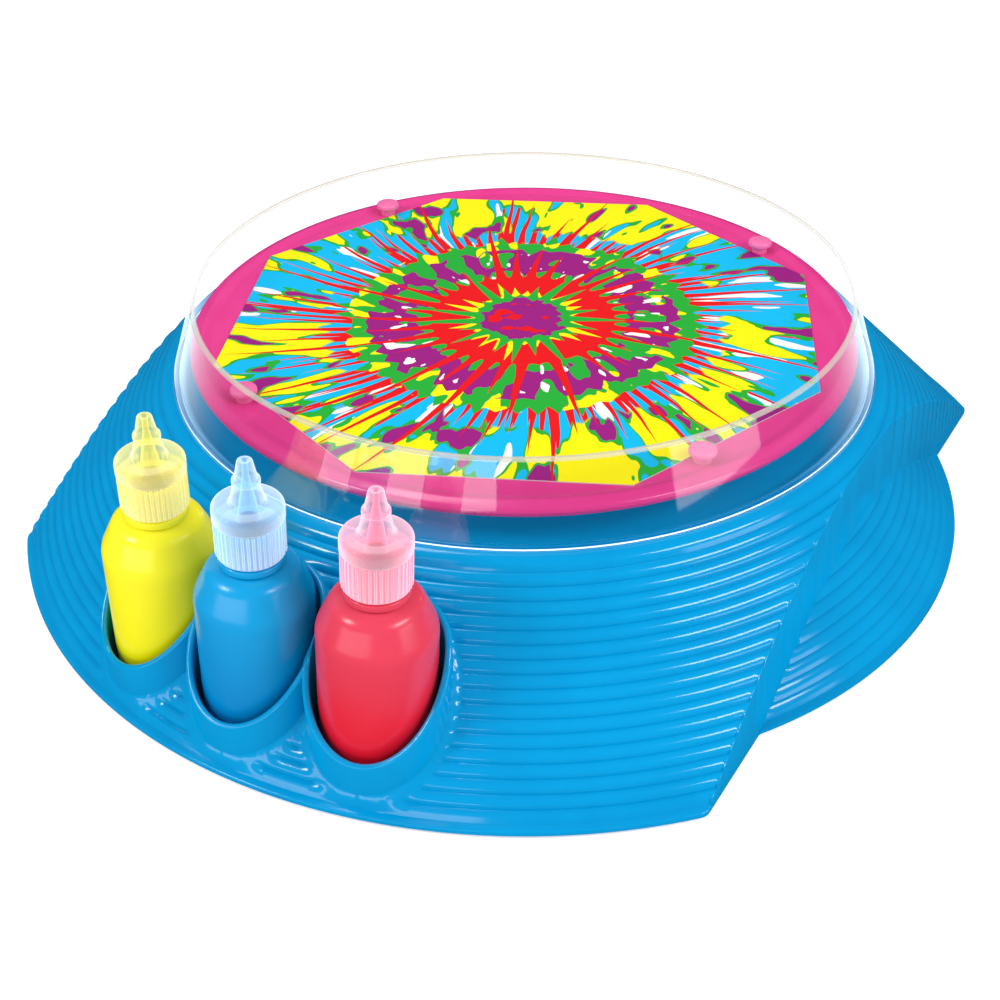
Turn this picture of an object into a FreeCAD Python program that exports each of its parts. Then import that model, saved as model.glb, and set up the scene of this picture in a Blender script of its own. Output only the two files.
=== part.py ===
"""Spin art machine: a battery-driven turntable in a ridged round base, with a clear
splash guard and three paint bottles standing in cups.

Frame: origin on the ground under the spindle, +Z up, +Y away from the bottle side.
Azimuths are in degrees from +X, counter-clockwise seen from above. Lengths in mm.
"""
import FreeCAD
import Part

import math
import os

from FreeCAD import Vector

# ---------------------------------------------------------------- fits
FIT = 0.05              # radial play of a pressed, glued or running round fit
CLEAR = 0.3             # gap between pieces that move apart or are only laid in

# ---------------------------------------------------------------- base shell
RIM_RADIUS = 163.0      # widest radius of the base
RIM_LIFT = 1.0          # the rim hangs this far above the ground
RIM_EDGE = 1.4          # upright edge at the foot of the slope
RIM_BAND = 2.0          # smooth band between that edge and the ridges
RIM_BAND_RISE = 0.4
SLOPE_REACH = 48.0      # level distance from the rim to the head of the slope
DOME_DROP = 3.0         # the slope's head lies this far below the ring
DOME_ROUND_IN = 1.2     # middle of the rounding between slope and ring, from the head
DOME_ROUND_DROP = 0.7
RING_LIP = 0.3          # the ring swells this much round the guard
RING_LIP_WIDTH = 0.5
RIDGES = 17             # ridges from the foot of the slope to the dome
RIDGE_DEPTH = 0.8
SKIN = 2.4              # wall of the blue moulding
PANEL_AZIMUTH = -30.0   # the two side ledges face this azimuth and its opposite
PANEL_OVERHANG = 0.4    # the ledge walls' top edges, outside the slope's head
WALL_DRAFT = 0.06       # their outer faces lean in by this much of their height
TIP_ROUND = 4.0         # plan rounding of the panels' four tips
LEDGE_SETBACK = 21.3    # the ledges' slope lies this much further in
LEDGE_RIDGES = 11
GUTTER_SETBACK = 4.4    # outer wall of the splash gutter, inside the guard's foot
GUTTER_DEPTH = 3.5
GUTTER_WALL_LEAN = 1.0
BOSS_FOOT_RADIUS = 34.0  # raised island round the spindle
BOSS_TOP_RADIUS = 30.0
BOSS_RISE = 1.5         # the island's top above the ring

# ---------------------------------------------------------------- splash guard
GUARD_SETBACK = 5.0     # the guard's foot, inside the slope's head
GUARD_LEAN = 7.7        # its top is this much narrower than its foot
GUARD_RISE = 23.9       # its top above the ring
GUARD_WALL = 1.6
GUARD_FOOT = 1.2        # upright foot above the ring
SEAT_DEPTH = 1.0        # rebate that the foot stands in

# ---------------------------------------------------------------- turntable
PLATE_LIFT = 9.2        # the flat that carries the paper, above the ring
PLATE_GAP = 1.4         # between the plate's widest point and the guard
PLATE_WALL = 1.8
ROLL_WIDTH = 6.7        # rolled rim, from the flat to the widest point
ROLL_CREST_IN = 3.6     # rolled rim: crest inside the widest point
ROLL_CREST = 0.9        # and above the flat
ROLL_NOSE = 1.3         # level of the widest point below the flat
ROLL_FOOT = 3.4         # level of the rim's lower edge below the flat
ROLL_FOOT_IN = 2.6
ROLL_WALL = 1.7
ROLL_BULGE = 0.6        # how far the roll's two arcs belly out
PLATE_RIBS = 8
RIB_WIDTH = 1.4
RIB_DEPTH = 2.6
HUB_ACROSS = 24.0       # hexagonal hub, across its flats
HUB_HEIGHT = 3.2
HUB_SLEEVE = 6.5        # radius of the sleeve under the hexagon
HUB_SLEEVE_LENGTH = 1.6
SOCKET_WALL = 2.2
PEGS = 4
PEG_SETBACK = 3.1       # the pegs' circle, inside the edge of the flat
PEG_AZIMUTH = 31.0
PEG_STEM = 2.6
PEG_SHANK = 2.0         # pressed into the plate
PEG_HEAD = 4.0
PEG_HEAD_THICKNESS = 2.0
PEG_HEAD_EDGE = 0.6     # chamfer round the head
PEG_UNDERCUT = 2.2      # free height between the flat and the head
PAPER_CORNERS = 8
PAPER_PLAY = 1.6        # between a flat of the sheet and the pegs' stems
PAPER_THICKNESS = 0.3
PAPER_TURN = 17.4       # azimuth of one of its corners

# ---------------------------------------------------------------- screws
SCREW_SHANK = 1.5
SCREW_HEAD = 3.0
SCREW_HEAD_HEIGHT = 1.4
SCREW_BOSS = 4.5        # moulded boss round a screw
SCREW_END = 1.0         # pilot hole beyond the screw's point
SMALL_SCREW = 1.0
SMALL_HEAD = 2.0
SMALL_HEAD_HEIGHT = 1.3
PLATE_SCREW_LENGTH = 12.0
MOTOR_SCREW_GRIP = 2.5  # thread of the motor screws in the can
DOOR_SCREW_LENGTH = 8.0
COVER_SCREW_LENGTH = 10.0

# ---------------------------------------------------------------- drive
MODULE = 1.0
SPINDLE_TEETH = 36
PINION_TEETH = 12
PRESSURE_ANGLE = 20.0
BACKLASH = 0.16         # taken off each gear's tooth thickness
GEAR_FACE = 4.0
PINION_FACE = 5.0
GEAR_HUB = 6.0
GEAR_HUB_LENGTH = 1.0
GEAR_HOLES = 6
GEAR_HOLE = 2.6
GEAR_HEADROOM = 0.7     # between the spindle gear and the upper bush
MOTOR_AZIMUTH = 90.0    # the motor stands on this side of the spindle
SPINDLE_RADIUS = 3.0
SPINDLE_CHAMFER = 0.5
SPINDLE_TAIL = 4.5      # the spindle ends this far below the mount plate
BUSH_RADIUS = 5.0
BUSH_FLANGE = 7.0
BUSH_FLANGE_THICKNESS = 1.0
BUSH_DROP = 2.0         # the lower bush reaches this far below the mount plate
DECK_HEADROOM = 2.1     # between the upper bush's flange and the deck
MOUNT_THICKNESS = 2.5
MOUNT_CORNER = 6.0
POST_X = 28.0
POST_NEAR = 14.0        # posts this far on the box's side of the spindle
POST_BEYOND = 16.0      # and this far beyond the motor's axis
POST_RADIUS = 4.0
POST_MARGIN = 6.0       # mount plate round the posts' axes
LOWER_BUSH_BOSS = 8.0
CLIP_RADIUS = 5.0
CLIP_THICKNESS = 0.8
CLIP_GROOVE = 0.7       # depth of the clip's groove
CLIP_MOUTH = 1.8        # half the clip's opening
MOTOR_RADIUS = 12.0
MOTOR_FLAT = 9.6        # motor axis to each flat of the can
MOTOR_LENGTH = 25.5
MOTOR_ROOM = 3.2        # under the motor
MOTOR_CAP_LENGTH = 3.2
MOTOR_CAP_STEP = 0.4    # the end cap is this much narrower than the can
MOTOR_NOSE = 3.5
MOTOR_NOSE_LENGTH = 2.0
MOTOR_SHAFT = 1.0
SHAFT_INSERT = 12.0     # shaft inside the can
SHAFT_END = 0.4         # and beyond the pinion's gear
COLLAR_WALL = 1.8
COLLAR_HEIGHT = 7.0
MOTOR_SCREW_X = 8.0
TAG_X = 4.0             # solder tags, either side of the motor's axis
TAG_HALF_WIDTH = 1.0
TAG_LENGTH = 3.0
TAG_LEVEL = 1.2         # above the motor's lower end
TAG_THICKNESS = 0.5

# ---------------------------------------------------------------- underside
COVER_UNDERSIDE = 1.8
COVER_THICKNESS = 2.0
COVER_GAP = 0.5
COVER_SCREWS = 6
SCREW_SETBACK = 13.0    # the screws' circle, inside the slope's head
FOOT_SETBACK = 19.0     # the feet's circle, inside the rim
FOOT_SPREAD = 33.0      # azimuth of each foot from the middle of its panel
FOOT_RADIUS = 7.0
FOOT_EDGE = 0.6
FOOT_STEM = 2.5
FOOT_BARB = 0.4
FOOT_BARB_LENGTH = 1.5

# ---------------------------------------------------------------- batteries
CELL_RADIUS = 7.25      # AA cell
CELL_EDGE = 0.5
CELL_LENGTH = 49.5
CELL_NUB = 2.75
CELL_NUB_HEIGHT = 1.0
CELL_GAP = 0.9          # between neighbours
CELL_PLAY = 1.05        # between an outer cell and the box's side
CELL_LIFT = 0.55        # under and over the cells
CELLS = 4
SPRING_ROOM = 7.7       # left along a cell for its spring
BOX_SETBACK = 25.0      # near wall of the battery box from the spindle
BOX_WALL = 1.6
BOX_FLANGE = 5.5
DOOR_LAP = 1.3          # the door reaches this far under the box walls
DOOR_TAB = 6.0
DOOR_SCREW_OUT = 7.6    # the door's screw beyond the cells' room
CONTACT = 0.5           # sheet thickness of the battery contacts
CONTACT_HALF_HEIGHT = 5.0
CONTACT_MARGIN = 1.2    # left between neighbouring contacts
SPRING_RADIUS = 3.2
SPRING_WIRE = 0.4
SPRING_TURNS = 3

# ---------------------------------------------------------------- switch
SWITCH_DROP = 14.0      # below the ring
SWITCH_HALF_WIDTH = 11.0
SWITCH_HALF_HEIGHT = 5.0
SWITCH_DEPTH = 8.5
SWITCH_EAR = 6.0
SWITCH_EAR_HALF_HEIGHT = 3.0
SWITCH_EAR_THICKNESS = 1.6
SWITCH_SCREW_GRIP = 1.5
SWITCH_TAG = 5.0        # tags, either side of the middle
SWITCH_TAG_LENGTH = 4.0
SWITCH_TAG_HALF = 0.3
KNOB_HALF_WIDTH = 2.6
KNOB_HALF_HEIGHT = 2.4
KNOB_PROUD = 3.0
KNOB_DEPTH = 5.0
KNOB_TRAVEL = 4.4
KNOB_ROUND = 0.8

# ---------------------------------------------------------------- leads
LEAD_RADIUS = 0.8
LEAD_BEND = 4.0         # bend radius along a lead
LEAD_EXIT = 8.5         # straight run out of the battery box
LEAD_LEVEL = 2.4        # above the cells' axes where a lead leaves the box
SWITCH_LEAD_X = -62.0   # bend of the lead from the box to the switch
SWITCH_LEAD_Y = 4.0
MOTOR_LEAD_X = -58.0    # first bend of the lead from the switch to the motor
MOTOR_LEAD_Y = 38.0
MOTOR_LEAD_NEAR_X = -24.0   # and its second
MOTOR_LEAD_NEAR_Y = 2.0
RETURN_LEAD_X = -12.0   # bend of the lead from the motor back to the box

# ---------------------------------------------------------------- paint bottles
BOTTLES = ("red", "blue", "yellow")
BOTTLE_LEANS = (3.0, 3.4, 4.0)   # each rests a little askew in its cup
LEAN_SHIFT = 1.3        # and its foot lies this far off the cup's axis
BOTTLE_RADIUS = 15.5
BOTTLE_WALL = 1.2
BOTTLE_HEEL = 1.6       # rounding round the base
SHOULDER_LEVEL = 41.0   # end of the straight body
SHOULDER_RISE = 13.0
SHOULDER_BULGE = 0.17   # fullness of the shoulder's rounding
NECK_RADIUS = 7.5
NECK_WALL = 2.0
NECK_FREE = 3.0         # neck between the shoulder and the cap
NECK_IN_CAP = 8.0
COLLAR_STEP = 1.1       # bead under the cap, wider than the neck
PAINT_HEADROOM = 7.0    # air under the shoulder's top
CAP_PLAY = 0.35         # between neck and cap
CAP_WALL = 0.75
CAP_SKIRT = 10.6        # ribbed skirt
CAP_RING = 4.4          # plain ring above it
CAP_RING_STEP = 0.5
CAP_RIBS = 40           # grip ribs round the skirt
CAP_RIB = 0.35          # and their radius
SPOUT_FOOT_RADIUS = 4.4
SPOUT_RING_RISE = 6.0   # bead on the spout, above the cap's top
SPOUT_RING_RADIUS = 3.6
SPOUT_TIP_RADIUS = 1.8
SPOUT_LENGTH = 12.6
SPOUT_BORE = 0.8

# ---------------------------------------------------------------- bottle cups
CUP_AZIMUTH = -105.28   # first cup; the others follow clockwise
CUP_PLAY = 1.9          # between a bottle and its cup
CUP_WALL = 1.9
CUP_WEB = 0.51          # left between two neighbouring cups
CUP_MARGIN = 3.23       # between a cup and the rim
CUP_FLOOR = 2.4         # level of the floor inside
CUP_UNDERSIDE = 1.2
CUP_FRONT = 15.0        # level of the rim at its outer side
CUP_KNEE_DROP = 10.5    # the rim bends this far below the ring,
CUP_KNEE_IN = 4.0       # and this far behind the cup's axis
CUP_BACK_DROP = 4.5     # the rim next to the dome, below the ring

# ---------------------------------------------------------------- worked out
COVER_TOP = COVER_UNDERSIDE + COVER_THICKNESS
MOUNT_LEVEL = COVER_TOP + MOTOR_ROOM + MOTOR_LENGTH
MOUNT_TOP = MOUNT_LEVEL + MOUNT_THICKNESS
GEAR_FOOT = MOUNT_TOP + BUSH_FLANGE_THICKNESS + CLEAR + GEAR_HUB_LENGTH
GEAR_TOP = GEAR_FOOT + GEAR_FACE
BUSH_UPPER_FOOT = GEAR_TOP + GEAR_HEADROOM
DECK_UNDER = BUSH_UPPER_FOOT + DECK_HEADROOM
DECK_TOP = DECK_UNDER + SKIN
RING_HEIGHT = DECK_TOP + GUTTER_DEPTH
ISLAND_TOP = RING_HEIGHT + BOSS_RISE
DOME_RADIUS = RIM_RADIUS - SLOPE_REACH
CONE_FOOT = (RIM_RADIUS - RIM_BAND, RIM_LIFT + RIM_EDGE + RIM_BAND_RISE)
CONE_HEAD = (DOME_RADIUS, RING_HEIGHT - DOME_DROP)
CONE_SLOPE = (CONE_HEAD[1] - CONE_FOOT[1]) / (CONE_FOOT[0] - CONE_HEAD[0])
SKIN_ACROSS = SKIN * math.hypot(1.0, CONE_SLOPE) / CONE_SLOPE   # the wall, cut level
RIDGE_PITCH = (CONE_FOOT[0] - CONE_HEAD[0]) / RIDGES
PANEL_HALF = DOME_RADIUS + PANEL_OVERHANG
PANEL_FOOT = PANEL_HALF + WALL_DRAFT * RING_HEIGHT
GUARD_RADIUS = DOME_RADIUS - GUARD_SETBACK
GUARD_TOP_RADIUS = GUARD_RADIUS - GUARD_LEAN
GUTTER_RADIUS = GUARD_RADIUS - GUTTER_SETBACK
PLATE_TOP = RING_HEIGHT + PLATE_LIFT
PLATE_UNDER = PLATE_TOP - PLATE_WALL
GUARD_LEAN_HERE = GUARD_LEAN * (PLATE_LIFT - GUARD_FOOT) / (GUARD_RISE - GUARD_FOOT)
PLATE_RADIUS = GUARD_RADIUS - GUARD_WALL - GUARD_LEAN_HERE - PLATE_GAP
PLATE_FLAT = PLATE_RADIUS - ROLL_WIDTH
PEG_CIRCLE = PLATE_FLAT - PEG_SETBACK
PAPER_ACROSS = 2 * (PEG_CIRCLE - PEG_STEM - PAPER_PLAY)
SCREW_CIRCLE = DOME_RADIUS - SCREW_SETBACK
FOOT_CIRCLE = RIM_RADIUS - FOOT_SETBACK
CENTRES = MODULE * (SPINDLE_TEETH + PINION_TEETH) / 2
CAN_TOP = MOUNT_LEVEL
CAN_FOOT = CAN_TOP - MOTOR_LENGTH + MOTOR_CAP_LENGTH
MOTOR_FOOT = CAN_TOP - MOTOR_LENGTH
CELL_PITCH = 2 * CELL_RADIUS + CELL_GAP
CELL_LEVEL = COVER_TOP + CELL_LIFT + CELL_RADIUS
BOX_CEILING = CELL_LEVEL + CELL_RADIUS + CELL_LIFT
BOX_HALF_X = (CELL_LENGTH + CELL_NUB_HEIGHT + SPRING_ROOM) / 2 + CONTACT
BOX_HALF_Y = CELL_PITCH * (CELLS - 1) / 2 + CELL_RADIUS + CELL_PLAY
BOX_Y = -(BOX_SETBACK + BOX_WALL + BOX_HALF_Y)
DOOR_SCREW_Y = BOX_Y - BOX_HALF_Y - DOOR_SCREW_OUT
SWITCH_LEVEL = RING_HEIGHT - SWITCH_DROP
SWITCH_WALL = PANEL_HALF + WALL_DRAFT * SWITCH_DROP     # the wall's outer face at that level
CUP_BORE = BOTTLE_RADIUS + CUP_PLAY
CUP_RADIUS = CUP_BORE + CUP_WALL
CUP_CIRCLE = RIM_RADIUS - CUP_MARGIN - CUP_RADIUS
CUP_PITCH = 2 * math.degrees(math.asin((CUP_BORE + CUP_WEB / 2) / CUP_CIRCLE))
SHOULDER_TOP = SHOULDER_LEVEL + SHOULDER_RISE
CAP_FOOT = SHOULDER_TOP + NECK_FREE
NECK_TOP = CAP_FOOT + NECK_IN_CAP
PAINT_LEVEL = SHOULDER_TOP - PAINT_HEADROOM
NECK_BORE = NECK_RADIUS - NECK_WALL
COLLAR_RADIUS = NECK_RADIUS + COLLAR_STEP
CAP_BORE = NECK_RADIUS + CAP_PLAY
CAP_RADIUS = CAP_BORE + CAP_WALL
CAP_RING_RADIUS = CAP_RADIUS + CAP_RING_STEP
CAP_RING_FOOT = CAP_FOOT + CAP_SKIRT
CAP_TOP = CAP_RING_FOOT + CAP_RING
SPOUT_RING_LEVEL = CAP_TOP + SPOUT_RING_RISE
BOTTLE_HEIGHT = CAP_TOP + SPOUT_LENGTH
ABOVE_ALL = BOTTLE_HEIGHT * 2    # reach of the cutting tools
Z_AXIS = Vector(0, 0, 1)
ORIGIN = Vector(0, 0, 0)


# ================================================================ helpers
def polar(radius, azimuth, level=0.0):
    a = math.radians(azimuth)
    return Vector(radius * math.cos(a), radius * math.sin(a), level)


def turned(*steps):
    """Solid of revolution about Z. A step is (r, z), or (mid r, mid z, r, z) for an arc."""
    here = Vector(steps[0][-2], 0, steps[0][-1])
    edges = []
    for step in steps[1:] + (steps[0],):
        end = Vector(step[-2], 0, step[-1])
        if len(step) == 4:
            edges.append(Part.Arc(here, Vector(step[0], 0, step[1]), end).toShape())
        else:
            edges.append(Part.makeLine(here, end))
        here = end
    return Part.Face(Part.Wire(edges)).revolve(ORIGIN, Z_AXIS, 360)


def rod(radius, low, high, at=ORIGIN):
    return Part.makeCylinder(radius, high - low, Vector(at.x, at.y, low))


def block(x0, x1, y0, y1, z0, z1):
    return Part.makeBox(x1 - x0, y1 - y0, z1 - z0, Vector(x0, y0, z0))


def slab(points, low, high):
    """Upright prism on a closed plan outline of (x, y) points."""
    corners = [Vector(x, y, low) for x, y in points]
    face = Part.Face(Part.makePolygon(corners + corners[:1]))
    return face.extrude(Vector(0, 0, high - low))


def upright_edges(shape):
    """The straight edges of a shape that run along Z."""
    lines = [e for e in shape.Edges if e.Curve.TypeId == "Part::GeomLine"]
    return [e for e in lines if e.Curve.Direction.cross(Z_AXIS).Length < 1e-6]


def rounded_slab(x0, x1, y0, y1, low, high, corner):
    shape = block(x0, x1, y0, y1, low, high)
    return shape.makeFillet(corner, upright_edges(shape))


def polygon_points(count, across, azimuth):
    """Corners of a regular polygon, given across its flats, one corner at the azimuth."""
    radius = across / 2 / math.cos(math.pi / count)
    corners = [polar(radius, azimuth + 360.0 * i / count) for i in range(count)]
    return [(c.x, c.y) for c in corners]


def turned_by(shape, azimuth):
    copy = shape.copy()
    copy.rotate(ORIGIN, Z_AXIS, azimuth)
    return copy


def moved(shape, offset):
    copy = shape.copy()
    copy.translate(offset)
    return copy


def join(shapes):
    first, *rest = shapes
    return first.fuse(rest).removeSplitter() if rest else first


def screw(shank, head, head_height, length):
    """Pan-head screw, head down: the head's bearing face is at z = 0 and the shank rises."""
    return turned((0, -head_height), (head * 0.7, -head_height), (head * 0.95, -head_height * 0.7),
                  (head, -head_height * 0.25), (head, 0), (shank, 0), (shank, length - shank),
                  (shank * 0.35, length), (0, length))


# ================================================================ base shell
def slope_level(radius):
    """Level of the ridged slope's grooves over a radius."""
    return CONE_HEAD[1] + (DOME_RADIUS - radius) * CONE_SLOPE


def inner_slope_radius(level, setback=0.0):
    """Radius of the slope's inner face at a level."""
    return DOME_RADIUS + (CONE_HEAD[1] - level) / CONE_SLOPE - SKIN_ACROSS - setback


def ridge_steps(count, setback):
    """Outline of the ridges from the foot of the slope upwards: groove, crest, groove..."""
    out = RIDGE_DEPTH / math.hypot(1.0, CONE_SLOPE)
    steps = []
    for i in range(count):
        crest = CONE_FOOT[0] - (i + 0.5) * RIDGE_PITCH
        groove = CONE_FOOT[0] - (i + 1) * RIDGE_PITCH
        steps.append((crest - setback + out * CONE_SLOPE, slope_level(crest) + out))
        steps.append((groove - setback, slope_level(groove)))
    return steps


def foot_steps(setback):
    return [(0, RIM_LIFT), (RIM_RADIUS - setback, RIM_LIFT),
            (RIM_RADIUS - setback, RIM_LIFT + RIM_EDGE),
            (CONE_FOOT[0] - setback, CONE_FOOT[1])]


def panel_strip(half_width):
    """Upright block between the two ledges, lying across the panel azimuth."""
    reach = RIM_RADIUS * 1.2
    strip = block(-half_width, half_width, -reach, reach, 0, ABOVE_ALL)
    return turned_by(strip, PANEL_AZIMUTH)


def panel_walls():
    """Prism between the outer faces of the two ledge walls, which lean in by their draft."""
    reach = RIM_RADIUS * 1.2
    top = PANEL_FOOT - WALL_DRAFT * ABOVE_ALL
    corners = [Vector(x, -reach, z) for x, z in ((-PANEL_FOOT, 0), (PANEL_FOOT, 0),
                                                 (top, ABOVE_ALL), (-top, ABOVE_ALL))]
    face = Part.Face(Part.makePolygon(corners + corners[:1]))
    return turned_by(face.extrude(Vector(0, reach * 2, 0)), PANEL_AZIMUTH)


def panel_plan():
    """The room between the walls, ended by the rim's circle, with its four tips rounded."""
    plan = panel_strip(PANEL_FOOT).common(rod(RIM_RADIUS, 0, ABOVE_ALL))
    return plan.makeFillet(TIP_ROUND, upright_edges(plan)).common(panel_walls())


def shell_outside():
    lip = GUARD_RADIUS + CLEAR
    seat_in = GUARD_RADIUS - GUARD_WALL - CLEAR
    seat = RING_HEIGHT - SEAT_DEPTH
    steps = foot_steps(0.0) + ridge_steps(RIDGES, 0.0) + [
        (DOME_RADIUS - DOME_ROUND_IN, RING_HEIGHT - DOME_ROUND_DROP,
         lip + RING_LIP_WIDTH, RING_HEIGHT + RING_LIP),
        (lip, RING_HEIGHT + RING_LIP), (lip, seat), (seat_in, seat), (seat_in, RING_HEIGHT),
        (GUTTER_RADIUS + GUTTER_WALL_LEAN, RING_HEIGHT), (GUTTER_RADIUS, DECK_TOP),
        (BOSS_FOOT_RADIUS, DECK_TOP), (BOSS_TOP_RADIUS, ISLAND_TOP), (0, ISLAND_TOP)]
    main = turned(*steps).common(panel_plan())
    ledge = turned(*(foot_steps(LEDGE_SETBACK) + ridge_steps(LEDGE_RIDGES, LEDGE_SETBACK)
                     + [(0, slope_level(CONE_FOOT[0] - LEDGE_RIDGES * RIDGE_PITCH))]))
    return main.fuse(ledge)


def shell_inside():
    ring_under = RING_HEIGHT - SEAT_DEPTH - SKIN
    step_in = GUTTER_RADIUS + GUTTER_WALL_LEAN + SKIN
    island_under = ISLAND_TOP - SKIN
    main = turned((0, 0), (inner_slope_radius(0), 0), (inner_slope_radius(ring_under), ring_under),
                  (step_in, ring_under), (step_in, DECK_UNDER),
                  (BOSS_FOOT_RADIUS - SKIN, DECK_UNDER), (BOSS_TOP_RADIUS - SKIN, island_under),
                  (0, island_under))
    head = slope_level(CONE_FOOT[0] - LEDGE_RIDGES * RIDGE_PITCH) - SKIN
    ledge = turned((0, 0), (inner_slope_radius(0, LEDGE_SETBACK), 0),
                   (inner_slope_radius(head, LEDGE_SETBACK), head), (0, head))
    return main.common(panel_strip(PANEL_HALF - SKIN)).fuse(ledge)


def post_places():
    return [Vector(x, y, 0) for x in (-POST_X, POST_X) for y in (-POST_NEAR, CENTRES + POST_BEYOND)]


def screw_places():
    return [polar(SCREW_CIRCLE, 360.0 * i / COVER_SCREWS) for i in range(COVER_SCREWS)]


def cup_azimuths():
    return [CUP_AZIMUTH - CUP_PITCH * i for i in range(len(BOTTLES))]


def cup_rods(radius, low, high):
    return [rod(radius, low, high, polar(CUP_CIRCLE, a)) for a in cup_azimuths()]


def base_shell():
    shell = shell_outside().cut(shell_inside())
    bosses = [rod(SCREW_BOSS, COVER_TOP, DECK_UNDER + SKIN / 2, p) for p in screw_places()]
    posts = [rod(POST_RADIUS, MOUNT_TOP, DECK_UNDER + SKIN / 2, p) for p in post_places()]
    bush_boss = rod(BUSH_RADIUS + SKIN, BUSH_UPPER_FOOT + BUSH_FLANGE_THICKNESS,
                    ISLAND_TOP - SKIN / 2)
    shell = join([shell, bush_boss] + bosses + posts)
    pilots = [rod(SCREW_SHANK + FIT, 0, COVER_UNDERSIDE + COVER_SCREW_LENGTH + SCREW_END, p)
              for p in screw_places()]
    pilots += [rod(SCREW_SHANK + FIT, 0, MOUNT_LEVEL + DOOR_SCREW_LENGTH + SCREW_END, p)
               for p in post_places()]
    bore = rod(BUSH_RADIUS + FIT, 0, ABOVE_ALL)
    wells = cup_rods(CUP_RADIUS + FIT, 0, ABOVE_ALL)
    return shell.cut(pilots + [bore] + wells + [switch_window()])


# ================================================================ bottle cups
def cup_rim_knife():
    """All that stands above a cup's rim, for a cup on the +X axis."""
    knee = RING_HEIGHT - CUP_KNEE_DROP
    back = RING_HEIGHT - CUP_BACK_DROP
    front_slope = (knee - CUP_FRONT) / (CUP_RADIUS + CUP_KNEE_IN)
    outer = (CUP_CIRCLE + 2 * CUP_RADIUS, CUP_FRONT - CUP_RADIUS * front_slope)
    inner = (CUP_CIRCLE - 2 * CUP_RADIUS, back)
    ring = [outer, (CUP_CIRCLE - CUP_KNEE_IN, knee), (CUP_CIRCLE - CUP_RADIUS, back), inner,
            (inner[0], ABOVE_ALL), (outer[0], ABOVE_ALL)]
    corners = [Vector(x, -CUP_RADIUS * 2, z) for x, z in ring]
    face = Part.Face(Part.makePolygon(corners + corners[:1]))
    return face.extrude(Vector(0, CUP_RADIUS * 4, 0))


def bottle_cups():
    """Three cups in one moulding; neighbours share a wall where they meet."""
    knife = cup_rim_knife()
    outsides = []
    for azimuth in cup_azimuths():
        cup = rod(CUP_RADIUS, CUP_UNDERSIDE, RING_HEIGHT, polar(CUP_CIRCLE, azimuth))
        outsides.append(cup.cut(turned_by(knife, azimuth)))
    return join(outsides).cut(cup_rods(CUP_BORE, CUP_FLOOR, ABOVE_ALL))


# ================================================================ guard and turntable
def splash_guard():
    foot = RING_HEIGHT - SEAT_DEPTH + CLEAR
    knee = RING_HEIGHT + GUARD_FOOT
    top = RING_HEIGHT + GUARD_RISE
    inner_top = GUARD_TOP_RADIUS - GUARD_WALL
    return turned((GUARD_RADIUS - GUARD_WALL, foot), (GUARD_RADIUS, foot), (GUARD_RADIUS, knee),
                  (GUARD_TOP_RADIUS, top - GUARD_WALL / 2),
                  (GUARD_TOP_RADIUS - GUARD_WALL / 2, top, inner_top, top - GUARD_WALL / 2),
                  (GUARD_RADIUS - GUARD_WALL, knee))


def rolled_disc():
    crest = (PLATE_RADIUS - ROLL_CREST_IN, PLATE_TOP + ROLL_CREST)
    nose = (PLATE_RADIUS, PLATE_TOP - ROLL_NOSE)
    foot = (PLATE_RADIUS - ROLL_FOOT_IN, PLATE_TOP - ROLL_FOOT)
    inner = foot[0] - ROLL_WALL
    return turned((0, PLATE_TOP), (PLATE_FLAT, PLATE_TOP), crest,
                  ((crest[0] + nose[0]) / 2 + ROLL_BULGE, (crest[1] + nose[1]) / 2 + ROLL_BULGE,
                   nose[0], nose[1]),
                  ((foot[0] + nose[0]) / 2 + ROLL_BULGE, (foot[1] + nose[1]) / 2 - ROLL_BULGE,
                   foot[0], foot[1]), (inner, foot[1]),
                  (inner, PLATE_UNDER), (0, PLATE_UNDER))


def turntable_plate():
    socket_low = PLATE_UNDER - HUB_HEIGHT
    socket_radius = HUB_ACROSS / 2 / math.cos(math.pi / 6) + SOCKET_WALL
    socket = rod(socket_radius, socket_low, PLATE_UNDER)
    rib = block(socket_radius - RIB_WIDTH / 2, PLATE_FLAT, -RIB_WIDTH / 2, RIB_WIDTH / 2,
                PLATE_UNDER - RIB_DEPTH, PLATE_UNDER)
    ribs = [turned_by(rib, 360.0 * i / PLATE_RIBS) for i in range(PLATE_RIBS)]
    hexagon = slab(polygon_points(6, HUB_ACROSS + 2 * CLEAR, 0), socket_low, PLATE_UNDER)
    plate = join([rolled_disc(), socket] + ribs).cut(hexagon)
    screw_hole = turned((0, PLATE_UNDER), (SCREW_SHANK + CLEAR, PLATE_UNDER),
                        (SCREW_SHANK + CLEAR, PLATE_TOP - SCREW_HEAD_HEIGHT),
                        (SCREW_HEAD + CLEAR, PLATE_TOP), (0, PLATE_TOP))
    holes = [rod(PEG_SHANK + FIT, 0, ABOVE_ALL, p) for p in peg_places()]
    return plate.cut([screw_hole] + holes)


def peg_places():
    return [polar(PEG_CIRCLE, PEG_AZIMUTH + 360.0 * i / PEGS) for i in range(PEGS)]


def paper_pegs():
    """Mushroom studs pressed into the plate; their heads keep the sheet down."""
    neck = PLATE_TOP + PEG_UNDERCUT
    top = neck + PEG_HEAD_THICKNESS
    peg = turned((0, PLATE_UNDER), (PEG_SHANK, PLATE_UNDER), (PEG_SHANK, PLATE_TOP),
                 (PEG_STEM, PLATE_TOP), (PEG_STEM, neck), (PEG_HEAD, neck + PEG_HEAD_EDGE / 2),
                 (PEG_HEAD, top - PEG_HEAD_EDGE), (PEG_HEAD - PEG_HEAD_EDGE, top), (0, top))
    return Part.makeCompound([moved(peg, p) for p in peg_places()])


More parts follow.
